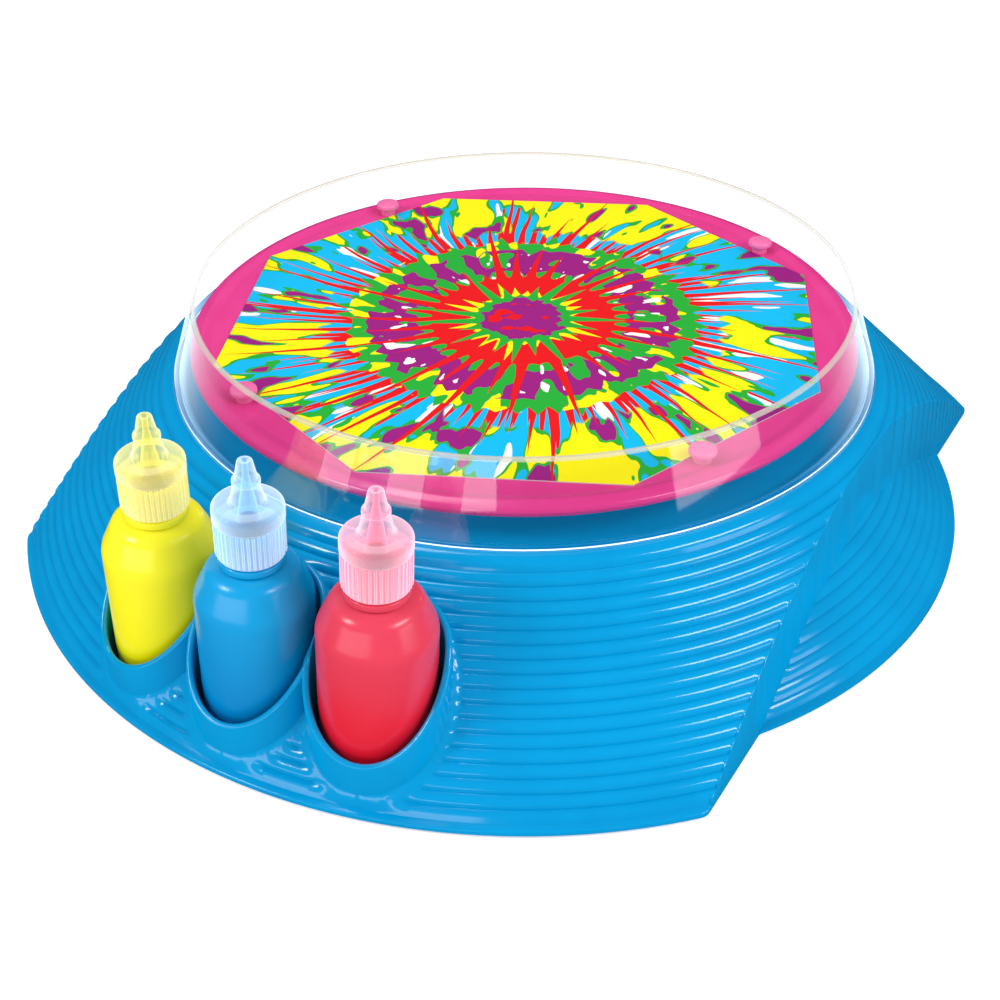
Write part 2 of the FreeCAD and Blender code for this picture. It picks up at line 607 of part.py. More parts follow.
def paper_sheet():
    return slab(polygon_points(PAPER_CORNERS, PAPER_ACROSS, PAPER_TURN), PLATE_TOP + FIT,
                PLATE_TOP + FIT + PAPER_THICKNESS)


def plate_hub():
    foot = PLATE_UNDER - HUB_HEIGHT
    hexagon = slab(polygon_points(6, HUB_ACROSS, 0), foot, PLATE_UNDER)
    sleeve = rod(HUB_SLEEVE, foot - HUB_SLEEVE_LENGTH, foot)
    return join([hexagon, sleeve]).cut(rod(SPINDLE_RADIUS + FIT, 0, ABOVE_ALL))


def plate_screw():
    head = PLATE_TOP - FIT
    point = head - PLATE_SCREW_LENGTH
    return turned((0, point), (SCREW_SHANK * 0.4, point), (SCREW_SHANK, point + SCREW_SHANK * 0.6),
                  (SCREW_SHANK, head - SCREW_HEAD_HEIGHT), (SCREW_HEAD, head), (0, head))


# ================================================================ drive
def spindle():
    foot = MOUNT_LEVEL - SPINDLE_TAIL
    top = PLATE_UNDER - FIT
    slim = SPINDLE_RADIUS - SPINDLE_CHAMFER
    body = turned((0, foot), (slim, foot), (SPINDLE_RADIUS, foot + SPINDLE_CHAMFER),
                  (SPINDLE_RADIUS, top - SPINDLE_CHAMFER), (slim, top), (0, top))
    groove = rod(SPINDLE_RADIUS * 2, clip_level(), clip_level() + CLIP_THICKNESS + FIT)
    groove = groove.cut(rod(SPINDLE_RADIUS - CLIP_GROOVE, 0, ABOVE_ALL))
    thread = rod(SCREW_SHANK + FIT, PLATE_TOP - PLATE_SCREW_LENGTH - SCREW_END, ABOVE_ALL)
    return body.cut([groove, thread])


def clip_level():
    return MOUNT_LEVEL - BUSH_DROP - CLEAR - CLIP_THICKNESS


def spindle_clip():
    """E-clip snapped into the groove under the lower bush."""
    low = clip_level() + FIT / 2
    ring = rod(CLIP_RADIUS, low, low + CLIP_THICKNESS)
    bore = rod(SPINDLE_RADIUS - CLIP_GROOVE + FIT, 0, ABOVE_ALL)
    mouth = block(0, CLIP_RADIUS * 2, -CLIP_MOUTH, CLIP_MOUTH, 0, ABOVE_ALL)
    return ring.cut([bore, mouth])


def upper_bush():
    shoulder = BUSH_UPPER_FOOT + BUSH_FLANGE_THICKNESS
    return turned((SPINDLE_RADIUS + FIT, BUSH_UPPER_FOOT), (BUSH_FLANGE, BUSH_UPPER_FOOT),
                  (BUSH_FLANGE, shoulder), (BUSH_RADIUS, shoulder), (BUSH_RADIUS, ISLAND_TOP),
                  (SPINDLE_RADIUS + FIT, ISLAND_TOP))


def lower_bush():
    foot = MOUNT_LEVEL - BUSH_DROP
    shoulder = MOUNT_TOP + BUSH_FLANGE_THICKNESS
    return turned((SPINDLE_RADIUS + FIT, foot), (BUSH_RADIUS, foot), (BUSH_RADIUS, MOUNT_TOP),
                  (BUSH_FLANGE, MOUNT_TOP), (BUSH_FLANGE, shoulder),
                  (SPINDLE_RADIUS + FIT, shoulder))


def tooth_flank(teeth):
    """(radius, half angle) at the flank's root, middle and tip, from the involute."""
    pitch = MODULE * teeth / 2
    base = pitch * math.cos(math.radians(PRESSURE_ANGLE))
    root = pitch - 1.25 * MODULE
    tip = pitch + MODULE
    involute = math.tan(math.radians(PRESSURE_ANGLE)) - math.radians(PRESSURE_ANGLE)
    half_at_pitch = (math.pi * MODULE / 2 - BACKLASH) / (2 * pitch)
    start = max(base, root)
    flank = []
    for radius in (start, (start + tip) / 2, tip):
        angle = math.acos(min(1.0, base / radius))
        flank.append((radius, half_at_pitch + involute - (math.tan(angle) - angle)))
    return root, flank


def spur_gear(teeth, low, high, first_tooth):
    """Involute gear about Z, with the middle of one tooth at an azimuth in degrees."""
    root, flank = tooth_flank(teeth)
    step = 2 * math.pi / teeth

    def at(radius, angle):
        return Vector(radius * math.cos(angle), radius * math.sin(angle), low)

    edges = []
    for i in range(teeth):
        middle = math.radians(first_tooth) + i * step
        rising = [at(r, middle - h) for r, h in flank]
        falling = [at(r, middle + h) for r, h in reversed(flank)]
        foot_in = at(root, middle - flank[0][1])
        foot_out = at(root, middle + flank[0][1])
        next_foot = at(root, middle + step - flank[0][1])
        edges.append(Part.makeLine(foot_in, rising[0]))
        edges.append(Part.Arc(*rising).toShape())
        edges.append(Part.makeLine(rising[2], falling[0]))
        edges.append(Part.Arc(*falling).toShape())
        edges.append(Part.makeLine(falling[2], foot_out))
        edges.append(Part.makeLine(foot_out, next_foot))
    return Part.Face(Part.Wire(edges)).extrude(Vector(0, 0, high - low))


def spindle_gear():
    gear = spur_gear(SPINDLE_TEETH, GEAR_FOOT, GEAR_TOP, MOTOR_AZIMUTH)
    hub = rod(GEAR_HUB, GEAR_FOOT - GEAR_HUB_LENGTH, GEAR_FOOT + GEAR_FACE / 2)
    web = (GEAR_HUB + MODULE * (SPINDLE_TEETH / 2 - 2)) / 2
    holes = [rod(GEAR_HOLE, 0, ABOVE_ALL, polar(web, 360.0 * i / GEAR_HOLES))
             for i in range(GEAR_HOLES)]
    return join([gear, hub]).cut(holes + [rod(SPINDLE_RADIUS + FIT, 0, ABOVE_ALL)])


def motor_pinion():
    low = GEAR_FOOT - (PINION_FACE - GEAR_FACE) / 2
    gap = 180.0 / PINION_TEETH
    gear = spur_gear(PINION_TEETH, low, low + PINION_FACE, MOTOR_AZIMUTH - 180.0 + gap)
    return moved(gear.cut(rod(MOTOR_SHAFT + FIT, 0, ABOVE_ALL)), motor_place())


def motor_place():
    return polar(CENTRES, MOTOR_AZIMUTH)


def motor_shaft():
    return rod(MOTOR_SHAFT, CAN_TOP - SHAFT_INSERT, GEAR_TOP + SHAFT_END, motor_place())


def motor_can():
    can = motor_drum(MOTOR_RADIUS, MOTOR_FLAT, CAN_FOOT, CAN_TOP)
    nose = rod(MOTOR_NOSE, CAN_TOP, CAN_TOP + MOTOR_NOSE_LENGTH, motor_place())
    bore = rod(MOTOR_SHAFT + FIT, CAN_TOP - SHAFT_INSERT - SHAFT_END, ABOVE_ALL, motor_place())
    pilots = [rod(SMALL_SCREW + FIT, CAN_TOP - MOTOR_SCREW_GRIP - SCREW_END, ABOVE_ALL, p)
              for p in motor_screw_places()]
    return join([can, nose]).cut([bore] + pilots)


def motor_drum(radius, flat, low, high):
    """Cylinder on the motor's axis with two flats."""
    drum = rod(radius, low, high, motor_place())
    return drum.common(block(-flat, flat, CENTRES - radius, CENTRES + radius, low, high))


def motor_end_cap():
    """Plastic end of the motor with its two solder tags."""
    cap = motor_drum(MOTOR_RADIUS - MOTOR_CAP_STEP, MOTOR_FLAT - MOTOR_CAP_STEP, MOTOR_FOOT, CAN_FOOT)
    side = CENTRES - MOTOR_RADIUS
    level = MOTOR_FOOT + TAG_LEVEL
    tags = [block(x - TAG_HALF_WIDTH, x + TAG_HALF_WIDTH, side - TAG_LENGTH, side + TAG_LENGTH,
                  level, level + TAG_THICKNESS) for x in (-TAG_X, TAG_X)]
    return join([cap] + tags)


def motor_screw_places():
    return [motor_place() + Vector(x, 0, 0) for x in (-MOTOR_SCREW_X, MOTOR_SCREW_X)]


def motor_mount():
    """Plate under the deck's posts, with a collar round the motor and the lower bush boss."""
    at = motor_place()
    half_width = POST_X + POST_MARGIN
    plate = rounded_slab(-half_width, half_width, -POST_NEAR - POST_MARGIN,
                         CENTRES + POST_BEYOND + POST_MARGIN, MOUNT_LEVEL, MOUNT_TOP, MOUNT_CORNER)
    bush_boss = rod(LOWER_BUSH_BOSS, MOUNT_LEVEL - BUSH_DROP, MOUNT_TOP)
    collar = rod(MOTOR_RADIUS + CLEAR + COLLAR_WALL, MOUNT_LEVEL - COLLAR_HEIGHT, MOUNT_LEVEL, at)
    mount = join([plate, bush_boss, collar])
    holes = [rod(BUSH_RADIUS + FIT, 0, ABOVE_ALL), rod(MOTOR_RADIUS + CLEAR, 0, MOUNT_LEVEL, at),
             rod(MOTOR_NOSE + FIT, 0, ABOVE_ALL, at)]
    holes += [rod(SMALL_SCREW + CLEAR, 0, ABOVE_ALL, p) for p in motor_screw_places()]
    holes += [rod(SCREW_SHANK + CLEAR, 0, ABOVE_ALL, p) for p in post_places()]
    return mount.cut(holes)


def mount_screws():
    one = screw(SCREW_SHANK, SCREW_HEAD, SCREW_HEAD_HEIGHT, DOOR_SCREW_LENGTH)
    return Part.makeCompound([moved(one, p + Vector(0, 0, MOUNT_LEVEL)) for p in post_places()])


def motor_screws():
    one = screw(SMALL_SCREW, SMALL_HEAD, SMALL_HEAD_HEIGHT, MOUNT_THICKNESS + MOTOR_SCREW_GRIP)
    one.rotate(ORIGIN, Vector(1, 0, 0), 180)
    return Part.makeCompound([moved(one, p + Vector(0, 0, MOUNT_TOP))
                              for p in motor_screw_places()])


# ================================================================ underside
def cover_outline(gap, low, high):
    """Plan of the underside opening, shrunk by a gap, as an upright prism."""
    panel = rod(inner_slope_radius(COVER_TOP) - gap, low, high)
    panel = panel.common(panel_strip(PANEL_HALF - SKIN - gap))
    ledge = rod(inner_slope_radius(COVER_TOP, LEDGE_SETBACK) - gap, low, high)
    return panel.fuse(ledge).removeSplitter()


def door_outline(gap, low, high):
    half_x = BOX_HALF_X + DOOR_LAP + gap
    half_y = BOX_HALF_Y + DOOR_LAP + gap
    plate = block(-half_x, half_x, BOX_Y - half_y, BOX_Y + half_y, low, high)
    tab = rod(DOOR_TAB + gap, low, high, Vector(0, DOOR_SCREW_Y, 0))
    tongue = block(-DOOR_TAB - gap, DOOR_TAB + gap, DOOR_SCREW_Y, BOX_Y, low, high)
    return join([plate, tongue, tab])


def foot_places():
    middles = (PANEL_AZIMUTH - 90.0, PANEL_AZIMUTH + 90.0)
    return [polar(FOOT_CIRCLE, m + s * FOOT_SPREAD) for m in middles for s in (-1, 1)]


def bottom_cover():
    cover = cover_outline(COVER_GAP, COVER_UNDERSIDE, COVER_TOP)
    holes = [rod(SCREW_SHANK + CLEAR, 0, ABOVE_ALL, p) for p in screw_places()]
    holes += [rod(FOOT_STEM + FIT, 0, ABOVE_ALL, p) for p in foot_places()]
    notches = [turned_by(cup_notch(), azimuth) for azimuth in cup_azimuths()]
    return cover.cut(holes + notches + [door_outline(CLEAR, 0, ABOVE_ALL)])


def cup_notch():
    """Room in the cover for a cup on the +X axis, open towards the rim and to its neighbours."""
    well = rod(CUP_RADIUS + COVER_GAP, 0, ABOVE_ALL, Vector(CUP_CIRCLE, 0, 0))
    half = RIM_RADIUS * math.sin(math.radians(CUP_PITCH / 2)) + COVER_GAP
    return well.fuse(block(CUP_CIRCLE, RIM_RADIUS, -half, half, 0, ABOVE_ALL))


def cover_screws():
    one = screw(SCREW_SHANK, SCREW_HEAD, SCREW_HEAD_HEIGHT, COVER_SCREW_LENGTH)
    return Part.makeCompound([moved(one, p + Vector(0, 0, COVER_UNDERSIDE))
                              for p in screw_places()])


def rubber_feet():
    top = COVER_TOP + FOOT_BARB_LENGTH
    foot = turned((0, 0), (FOOT_RADIUS - FOOT_EDGE, 0), (FOOT_RADIUS, FOOT_EDGE),
                  (FOOT_RADIUS, COVER_UNDERSIDE), (FOOT_STEM, COVER_UNDERSIDE),
                  (FOOT_STEM, COVER_TOP), (FOOT_STEM + FOOT_BARB, COVER_TOP), (FOOT_STEM, top),
                  (0, top))
    return Part.makeCompound([moved(foot, p) for p in foot_places()])


def battery_box():
    """Box open at its underside, with a flange that lies on the cover."""
    out_x = BOX_HALF_X + BOX_WALL
    out_y = BOX_HALF_Y + BOX_WALL
    walls = block(-out_x, out_x, BOX_Y - out_y, BOX_Y + out_y, COVER_TOP, BOX_CEILING + BOX_WALL)
    flange = block(-out_x - BOX_FLANGE, out_x + BOX_FLANGE, BOX_Y - out_y - BOX_FLANGE,
                   BOX_Y + out_y + BOX_FLANGE, COVER_TOP, COVER_TOP + BOX_WALL)
    at = Vector(0, DOOR_SCREW_Y, 0)
    boss = rod(SCREW_BOSS, COVER_TOP, COVER_TOP + DOOR_SCREW_LENGTH, at)
    pilot = rod(SCREW_SHANK + FIT, 0, COVER_UNDERSIDE + DOOR_SCREW_LENGTH + SCREW_END, at)
    hollow = block(-BOX_HALF_X, BOX_HALF_X, BOX_Y - BOX_HALF_Y, BOX_Y + BOX_HALF_Y,
                   0, BOX_CEILING)
    exits = [Part.makeCylinder(LEAD_RADIUS + CLEAR, BOX_WALL * 2, Vector(-out_x - FIT, y, lead_level()),
                               Vector(1, 0, 0)) for y in lead_rows()]
    return join([walls, flange, boss]).cut([hollow, pilot] + exits)


def battery_door():
    door = door_outline(0.0, COVER_UNDERSIDE, COVER_TOP - CLEAR)
    return door.cut(rod(SCREW_SHANK + CLEAR, 0, ABOVE_ALL, Vector(0, DOOR_SCREW_Y, 0)))


def door_screw():
    one = screw(SCREW_SHANK, SCREW_HEAD, SCREW_HEAD_HEIGHT, DOOR_SCREW_LENGTH)
    return moved(one, Vector(0, DOOR_SCREW_Y, COVER_UNDERSIDE))


def cell_rows():
    """(y of the cell's axis, +1 where its nub points to +X)."""
    first = BOX_Y - CELL_PITCH * (CELLS - 1) / 2
    return [(first + CELL_PITCH * i, 1 if i % 2 == 0 else -1) for i in range(CELLS)]


def along_x(shape, facing, y):
    """Lay a shape made along +Z onto the X direction at a cell's row."""
    copy = shape.copy()
    copy.rotate(ORIGIN, Vector(0, 1, 0), 90 * facing)
    copy.translate(Vector(0, y, CELL_LEVEL))
    return copy


def battery_cells():
    half = CELL_LENGTH / 2
    shift = nub_contact_x() - CELL_NUB_HEIGHT - half
    cell = turned((0, -half), (CELL_RADIUS - CELL_EDGE, -half), (CELL_RADIUS, CELL_EDGE - half),
                  (CELL_RADIUS, half - CELL_EDGE), (CELL_RADIUS - CELL_EDGE, half), (CELL_NUB, half),
                  (CELL_NUB, half + CELL_NUB_HEIGHT), (0, half + CELL_NUB_HEIGHT))
    cell = moved(cell, Vector(0, 0, shift))
    return Part.makeCompound([along_x(cell, facing, y) for y, facing in cell_rows()])


def nub_contact_x():
    """Distance from the box's middle plane to the sheet that a nub presses on."""
    return BOX_HALF_X - CONTACT


def battery_contacts():
    """Sheet contacts on both end walls; the +X end joins two pairs, the -X end the middle two."""
    rows = [y for y, facing in cell_rows()]
    half = (CELL_PITCH - CONTACT_MARGIN) / 2
    low, high = CELL_LEVEL - CONTACT_HALF_HEIGHT, CELL_LEVEL + CONTACT_HALF_HEIGHT
    pieces = []
    for side, groups in ((1, (rows[0:2], rows[2:4])), (-1, (rows[0:1], rows[1:3], rows[3:4]))):
        for group in groups:
            x = side * (BOX_HALF_X - CONTACT)
            pieces.append(block(min(x, x + side * CONTACT), max(x, x + side * CONTACT),
                                group[0] - half, group[-1] + half, low, high))
    return Part.makeCompound(pieces)


def contact_springs():
    """Spring under the flat end of each cell: turns of wire closed up into a ringed sleeve."""
    room = 2 * nub_contact_x() - CELL_LENGTH - CELL_NUB_HEIGHT
    pitch = (room - CLEAR) / SPRING_TURNS
    inside = SPRING_RADIUS - SPRING_WIRE
    steps = [(inside, 0)]
    for turn in range(SPRING_TURNS):
        steps += [(SPRING_RADIUS, pitch * (turn + 0.5)), (inside, pitch * (turn + 1))]
    steps += [(inside - SPRING_WIRE, pitch * SPRING_TURNS), (inside - SPRING_WIRE, 0)]
    coil = moved(turned(*steps), Vector(0, 0, -nub_contact_x()))
    return Part.makeCompound([along_x(coil, facing, y) for y, facing in cell_rows()])


# ================================================================ switch
def on_wall(shape):
    """From the switch's own frame (+X outwards, +Z up) to the ledge wall at the back."""
    return turned_by(shape, PANEL_AZIMUTH + 180.0)


def switch_window():
    reach = KNOB_HALF_WIDTH + KNOB_TRAVEL / 2 + CLEAR
    wall = PANEL_HALF - SKIN
    window = block(wall - SKIN, PANEL_HALF + SKIN, -reach, reach,
                   SWITCH_LEVEL - KNOB_HALF_HEIGHT - CLEAR, SWITCH_LEVEL + KNOB_HALF_HEIGHT + CLEAR)
    pilots = [wall_rod(SMALL_SCREW + FIT, wall - SKIN, wall + SWITCH_SCREW_GRIP + CLEAR, y)
              for y in switch_screw_ys()]
    return on_wall(Part.makeCompound([window] + pilots))


def wall_rod(radius, x0, x1, y):
    return Part.makeCylinder(radius, x1 - x0, Vector(x0, y, SWITCH_LEVEL), Vector(1, 0, 0))


def switch_screw_ys():
    middle = SWITCH_HALF_WIDTH + SWITCH_EAR / 2
    return (-middle, middle)


def switch_body():
    wall = PANEL_HALF - SKIN
    box = block(wall - SWITCH_DEPTH, wall, -SWITCH_HALF_WIDTH, SWITCH_HALF_WIDTH,
                SWITCH_LEVEL - SWITCH_HALF_HEIGHT, SWITCH_LEVEL + SWITCH_HALF_HEIGHT)
    reach = SWITCH_HALF_WIDTH + SWITCH_EAR
    ears = block(wall - SWITCH_EAR_THICKNESS, wall, -reach, reach,
                 SWITCH_LEVEL - SWITCH_EAR_HALF_HEIGHT, SWITCH_LEVEL + SWITCH_EAR_HALF_HEIGHT)
    slot = KNOB_HALF_WIDTH + KNOB_TRAVEL / 2 + CLEAR
    pocket = block(wall - KNOB_DEPTH - CLEAR, PANEL_HALF, -slot, slot,
                   SWITCH_LEVEL - KNOB_HALF_HEIGHT - CLEAR, SWITCH_LEVEL + KNOB_HALF_HEIGHT + CLEAR)
    holes = [wall_rod(SMALL_SCREW + CLEAR, wall - SWITCH_DEPTH, PANEL_HALF, y)
             for y in switch_screw_ys()]
    tags = [block(wall - SWITCH_DEPTH - SWITCH_TAG_LENGTH, wall - SWITCH_DEPTH,
                  y - TAG_HALF_WIDTH, y + TAG_HALF_WIDTH,
                  SWITCH_LEVEL - SWITCH_TAG_HALF, SWITCH_LEVEL + SWITCH_TAG_HALF)
            for y in (-SWITCH_TAG, SWITCH_TAG)]
    return on_wall(join([box, ears] + tags).cut(holes + [pocket]))


def switch_knob():
    """Slider, at its OFF end."""
    wall = PANEL_HALF - SKIN
    off = -KNOB_TRAVEL / 2
    knob = block(wall - KNOB_DEPTH, SWITCH_WALL + KNOB_PROUD, off - KNOB_HALF_WIDTH,
                 off + KNOB_HALF_WIDTH, SWITCH_LEVEL - KNOB_HALF_HEIGHT,
                 SWITCH_LEVEL + KNOB_HALF_HEIGHT)
    outer = [e for e in knob.Edges if e.BoundBox.XMin > PANEL_HALF]
    return on_wall(knob.makeFillet(KNOB_ROUND, outer))


def switch_screws():
    one = screw(SMALL_SCREW, SMALL_HEAD, SMALL_HEAD_HEIGHT,
                SWITCH_EAR_THICKNESS + SWITCH_SCREW_GRIP)
    one.rotate(ORIGIN, Vector(0, 1, 0), 90)
    bearing = PANEL_HALF - SKIN - SWITCH_EAR_THICKNESS
    return on_wall(Part.makeCompound([moved(one, Vector(bearing, y, SWITCH_LEVEL))
                                      for y in switch_screw_ys()]))


# ================================================================ leads
def lead_rows():
    """Rows of the two cells whose outer ends feed the leads."""
    rows = [y for y, facing in cell_rows()]
    return (rows[-1], rows[0])


def lead_level():
    return CELL_LEVEL + LEAD_LEVEL


def lead(points):
    """Insulated wire through the points: straight runs joined by tangent bends."""
    starts, edges = points[:1], []
    for before, here, after in zip(points, points[1:], points[2:]):
        back, on = (before - here).normalize(), (after - here).normalize()
        half = back.getAngle(on) / 2
        along = LEAD_BEND / math.tan(half)
        run_in, run_out = here + back * along, here + on * along
        crown = here + (back + on).normalize() * (LEAD_BEND / math.sin(half) - LEAD_BEND)
        edges += [Part.makeLine(starts[-1], run_in), Part.Arc(run_in, crown, run_out).toShape()]
        starts.append(run_out)
    edges.append(Part.makeLine(starts[-1], points[-1]))
    section = Part.Wire(Part.makeCircle(LEAD_RADIUS, points[0], points[1] - points[0]))
    return Part.Wire(edges).makePipeShell([section], True, True)


def box_exit(row):
    """Start of a lead against a contact, and its first bend outside the battery box."""
    level = lead_level()
    start = Vector(-BOX_HALF_X - CLEAR, row, level)
    return [start, start - Vector(BOX_WALL + LEAD_EXIT, 0, 0)]


def switch_entry(side):
    """Last bend before a switch tag, and the lead's end against that tag."""
    reach = PANEL_HALF - SKIN - SWITCH_DEPTH - SWITCH_TAG_LENGTH - CLEAR
    return [turned_point(Vector(reach - run, side * SWITCH_TAG, SWITCH_LEVEL))
            for run in (LEAD_BEND * 3, 0)]


def turned_point(point):
    return polar(math.hypot(point.x, point.y),
                 math.degrees(math.atan2(point.y, point.x)) + PANEL_AZIMUTH + 180.0, point.z)


def motor_entry(side):
    """Last bend before a motor tag, and the lead's end against that tag."""
    end = Vector(side * TAG_X, CENTRES - MOTOR_RADIUS - TAG_LENGTH - CLEAR,
                 MOTOR_FOOT + TAG_LEVEL + TAG_THICKNESS / 2)
    return [end - Vector(0, LEAD_BEND * 4 + side * LEAD_RADIUS * 3, 0), end]


def lead_battery_switch():
    bend = Vector(SWITCH_LEAD_X, SWITCH_LEAD_Y, lead_level())
    return lead(box_exit(lead_rows()[0]) + [bend] + switch_entry(1))


def lead_switch_motor():
    tag = motor_entry(-1)
    bends = [Vector(MOTOR_LEAD_X, MOTOR_LEAD_Y, lead_level()),
             Vector(MOTOR_LEAD_NEAR_X, MOTOR_LEAD_NEAR_Y, tag[0].z)]
    return lead(list(reversed(switch_entry(-1))) + bends + tag)


def lead_motor_battery():
    tag, start = motor_entry(1), box_exit(lead_rows()[1])
    aside = Vector(start[1].x, -BOX_SETBACK + LEAD_BEND, tag[0].z)
    return lead(start + [aside, Vector(RETURN_LEAD_X, aside.y, tag[0].z)] + tag)


# ================================================================ paint bottles
def stand_in_cup(shape, index):
    """Lean an upright shape towards the next cup round and set it in its own cup."""
    azimuth = cup_azimuths()[index]
    lean = BOTTLE_LEANS[index]
    copy = shape.copy()
    copy.rotate(ORIGIN, Vector(1, 0, 0), -lean)
    lift = CUP_FLOOR + CLEAR + (BOTTLE_RADIUS - BOTTLE_HEEL) * math.sin(math.radians(lean))
    copy.translate(Vector(CUP_CIRCLE, -LEAN_SHIFT, lift))
    copy.rotate(ORIGIN, Z_AXIS, azimuth)
    return copy


def bottle_section(inset, top):
    """Outline of the bottle's outside, or of its hollow when inset by the wall."""
    heel = BOTTLE_HEEL
    radius = BOTTLE_RADIUS - inset
    neck = NECK_RADIUS if inset == 0 else NECK_BORE - (inset - BOTTLE_WALL)
    waist = (radius + neck) / 2
    steps = [(0, inset), (radius - heel, inset), (radius - heel * 0.3, inset + heel * 0.3,
                                                  radius, inset + heel),
             (radius, SHOULDER_LEVEL),
             (radius - (radius - neck) * SHOULDER_BULGE, SHOULDER_LEVEL + SHOULDER_RISE / 2,
              waist, SHOULDER_TOP - inset - SHOULDER_RISE * SHOULDER_BULGE),
             (neck, SHOULDER_TOP - inset)]
    return steps + [(neck, top), (0, top)]


def bottle_body():
    outside = turned(*bottle_section(0.0, NECK_TOP))
    collar = rod(COLLAR_RADIUS, SHOULDER_TOP, CAP_FOOT - CLEAR * 2)
    hollow = turned(*bottle_section(BOTTLE_WALL, ABOVE_ALL))
    return join([outside, collar]).cut(hollow)


def bottle_paint():
    body = turned(*bottle_section(BOTTLE_WALL + FIT, NECK_TOP))
    return body.common(rod(BOTTLE_RADIUS, 0, PAINT_LEVEL))


def bottle_cap():
    """Screw cap with a conical spout; the threads are left plain."""
    ceiling = NECK_TOP + CLEAR
    outside = turned((0, CAP_FOOT), (CAP_RADIUS, CAP_FOOT), (CAP_RADIUS, CAP_RING_FOOT),
                     (CAP_RING_RADIUS, CAP_RING_FOOT + 0.4), (CAP_RING_RADIUS, CAP_TOP - 1.6),
                     (CAP_RING_RADIUS - 0.4, CAP_TOP - 0.5, CAP_RING_RADIUS - 1.5, CAP_TOP),
                     (SPOUT_FOOT_RADIUS + 0.6, CAP_TOP), (SPOUT_FOOT_RADIUS, CAP_TOP + 0.8),
                     (SPOUT_RING_RADIUS - 0.3, SPOUT_RING_LEVEL),
                     (SPOUT_RING_RADIUS, SPOUT_RING_LEVEL + 0.2),
                     (SPOUT_RING_RADIUS - 0.1, SPOUT_RING_LEVEL + 1.0),
                     (SPOUT_RING_RADIUS - 0.7, SPOUT_RING_LEVEL + 1.4),
                     (SPOUT_TIP_RADIUS + 0.2, BOTTLE_HEIGHT - 0.5),
                     (SPOUT_TIP_RADIUS, BOTTLE_HEIGHT), (0, BOTTLE_HEIGHT))
    ribs = [rod(CAP_RIB, CAP_FOOT + CAP_RIB, CAP_RING_FOOT + CAP_RIB,
                polar(CAP_RADIUS, 360.0 * i / CAP_RIBS)) for i in range(CAP_RIBS)]
    inside = turned((0, CAP_FOOT - 1), (CAP_BORE, CAP_FOOT - 1), (CAP_BORE, ceiling),
                    (SPOUT_FOOT_RADIUS - 1.4, ceiling + 1.5), (SPOUT_BORE, BOTTLE_HEIGHT - 4),
                    (SPOUT_BORE, BOTTLE_HEIGHT + 1), (0, BOTTLE_HEIGHT + 1))
    return join([outside] + ribs).cut(inside)


# ================================================================ all the pieces
def all_pieces():
    pieces = {
        "base_shell": base_shell(),
        "bottle_cups": bottle_cups(),
        "bottom_cover": bottom_cover(),
        "cover_screws": cover_screws(),
        "rubber_feet": rubber_feet(),
        "battery_box": battery_box(),
        "battery_cells": battery_cells(),
        "battery_contacts": battery_contacts(),
        "contact_springs": contact_springs(),
        "battery_door": battery_door(),
        "door_screw": door_screw(),
        "switch_body": switch_body(),
        "switch_knob": switch_knob(),
        "switch_screws": switch_screws(),
        "lead_battery_switch": lead_battery_switch(),
        "lead_switch_motor": lead_switch_motor(),
        "lead_motor_battery": lead_motor_battery(),
        "motor_mount": motor_mount(),
        "mount_screws": mount_screws(),
        "motor_can": motor_can(),
        "motor_end_cap": motor_end_cap(),
        "motor_screws": motor_screws(),
        "motor_shaft": motor_shaft(),
        "motor_pinion": motor_pinion(),
        "spindle_gear": spindle_gear(),
        "spindle": spindle(),
        "spindle_clip": spindle_clip(),
        "upper_bush": upper_bush(),
        "lower_bush": lower_bush(),
        "plate_hub": plate_hub(),
        "plate_screw": plate_screw(),
        "turntable_plate": turntable_plate(),
        "paper_pegs": paper_pegs(),
        "paper_sheet": paper_sheet(),
        "splash_guard": splash_guard(),
    }
    body, paint, cap = bottle_body(), bottle_paint(), bottle_cap()
    for index, colour in enumerate(BOTTLES):
        pieces["bottle_" + colour] = stand_in_cup(body, index)
        pieces["paint_" + colour] = stand_in_cup(paint, index)
        pieces["cap_" + colour] = stand_in_cup(cap, index)
    return pieces


def main():
    os.makedirs("parts", exist_ok=True)
    for name, shape in all_pieces().items():
        shape.exportStep("parts/" + name + ".step")
        box = shape.BoundBox
        print("%-18s solids %2d  volume %10.1f  z %.2f to %.2f"
              % (name, len(shape.Solids), shape.Volume, box.ZMin, box.ZMax))


main()
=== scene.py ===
# %% [markdown]
# # A spin art machine, dressed for its picture
#
# The toy is a round base of glossy blue plastic. A pink turntable spins in the middle, a clear
# ring keeps the paint from flying, and three bottles of paint stand in cups at the near side.
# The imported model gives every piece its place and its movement. This script gives the pieces
# their moulded roundings, their finishes and the light.
#
# The first cell loads the model. Everything after it works in metres, in the model's own frame:
# the origin lies on the ground under the spindle, Z points up, and the bottles stand towards -Y.
# Profiles are written in millimetres and scaled when their mesh is made.

# %% Load the model
import math

import bmesh
import bpy
import numpy as np
from mathutils import Matrix, Vector


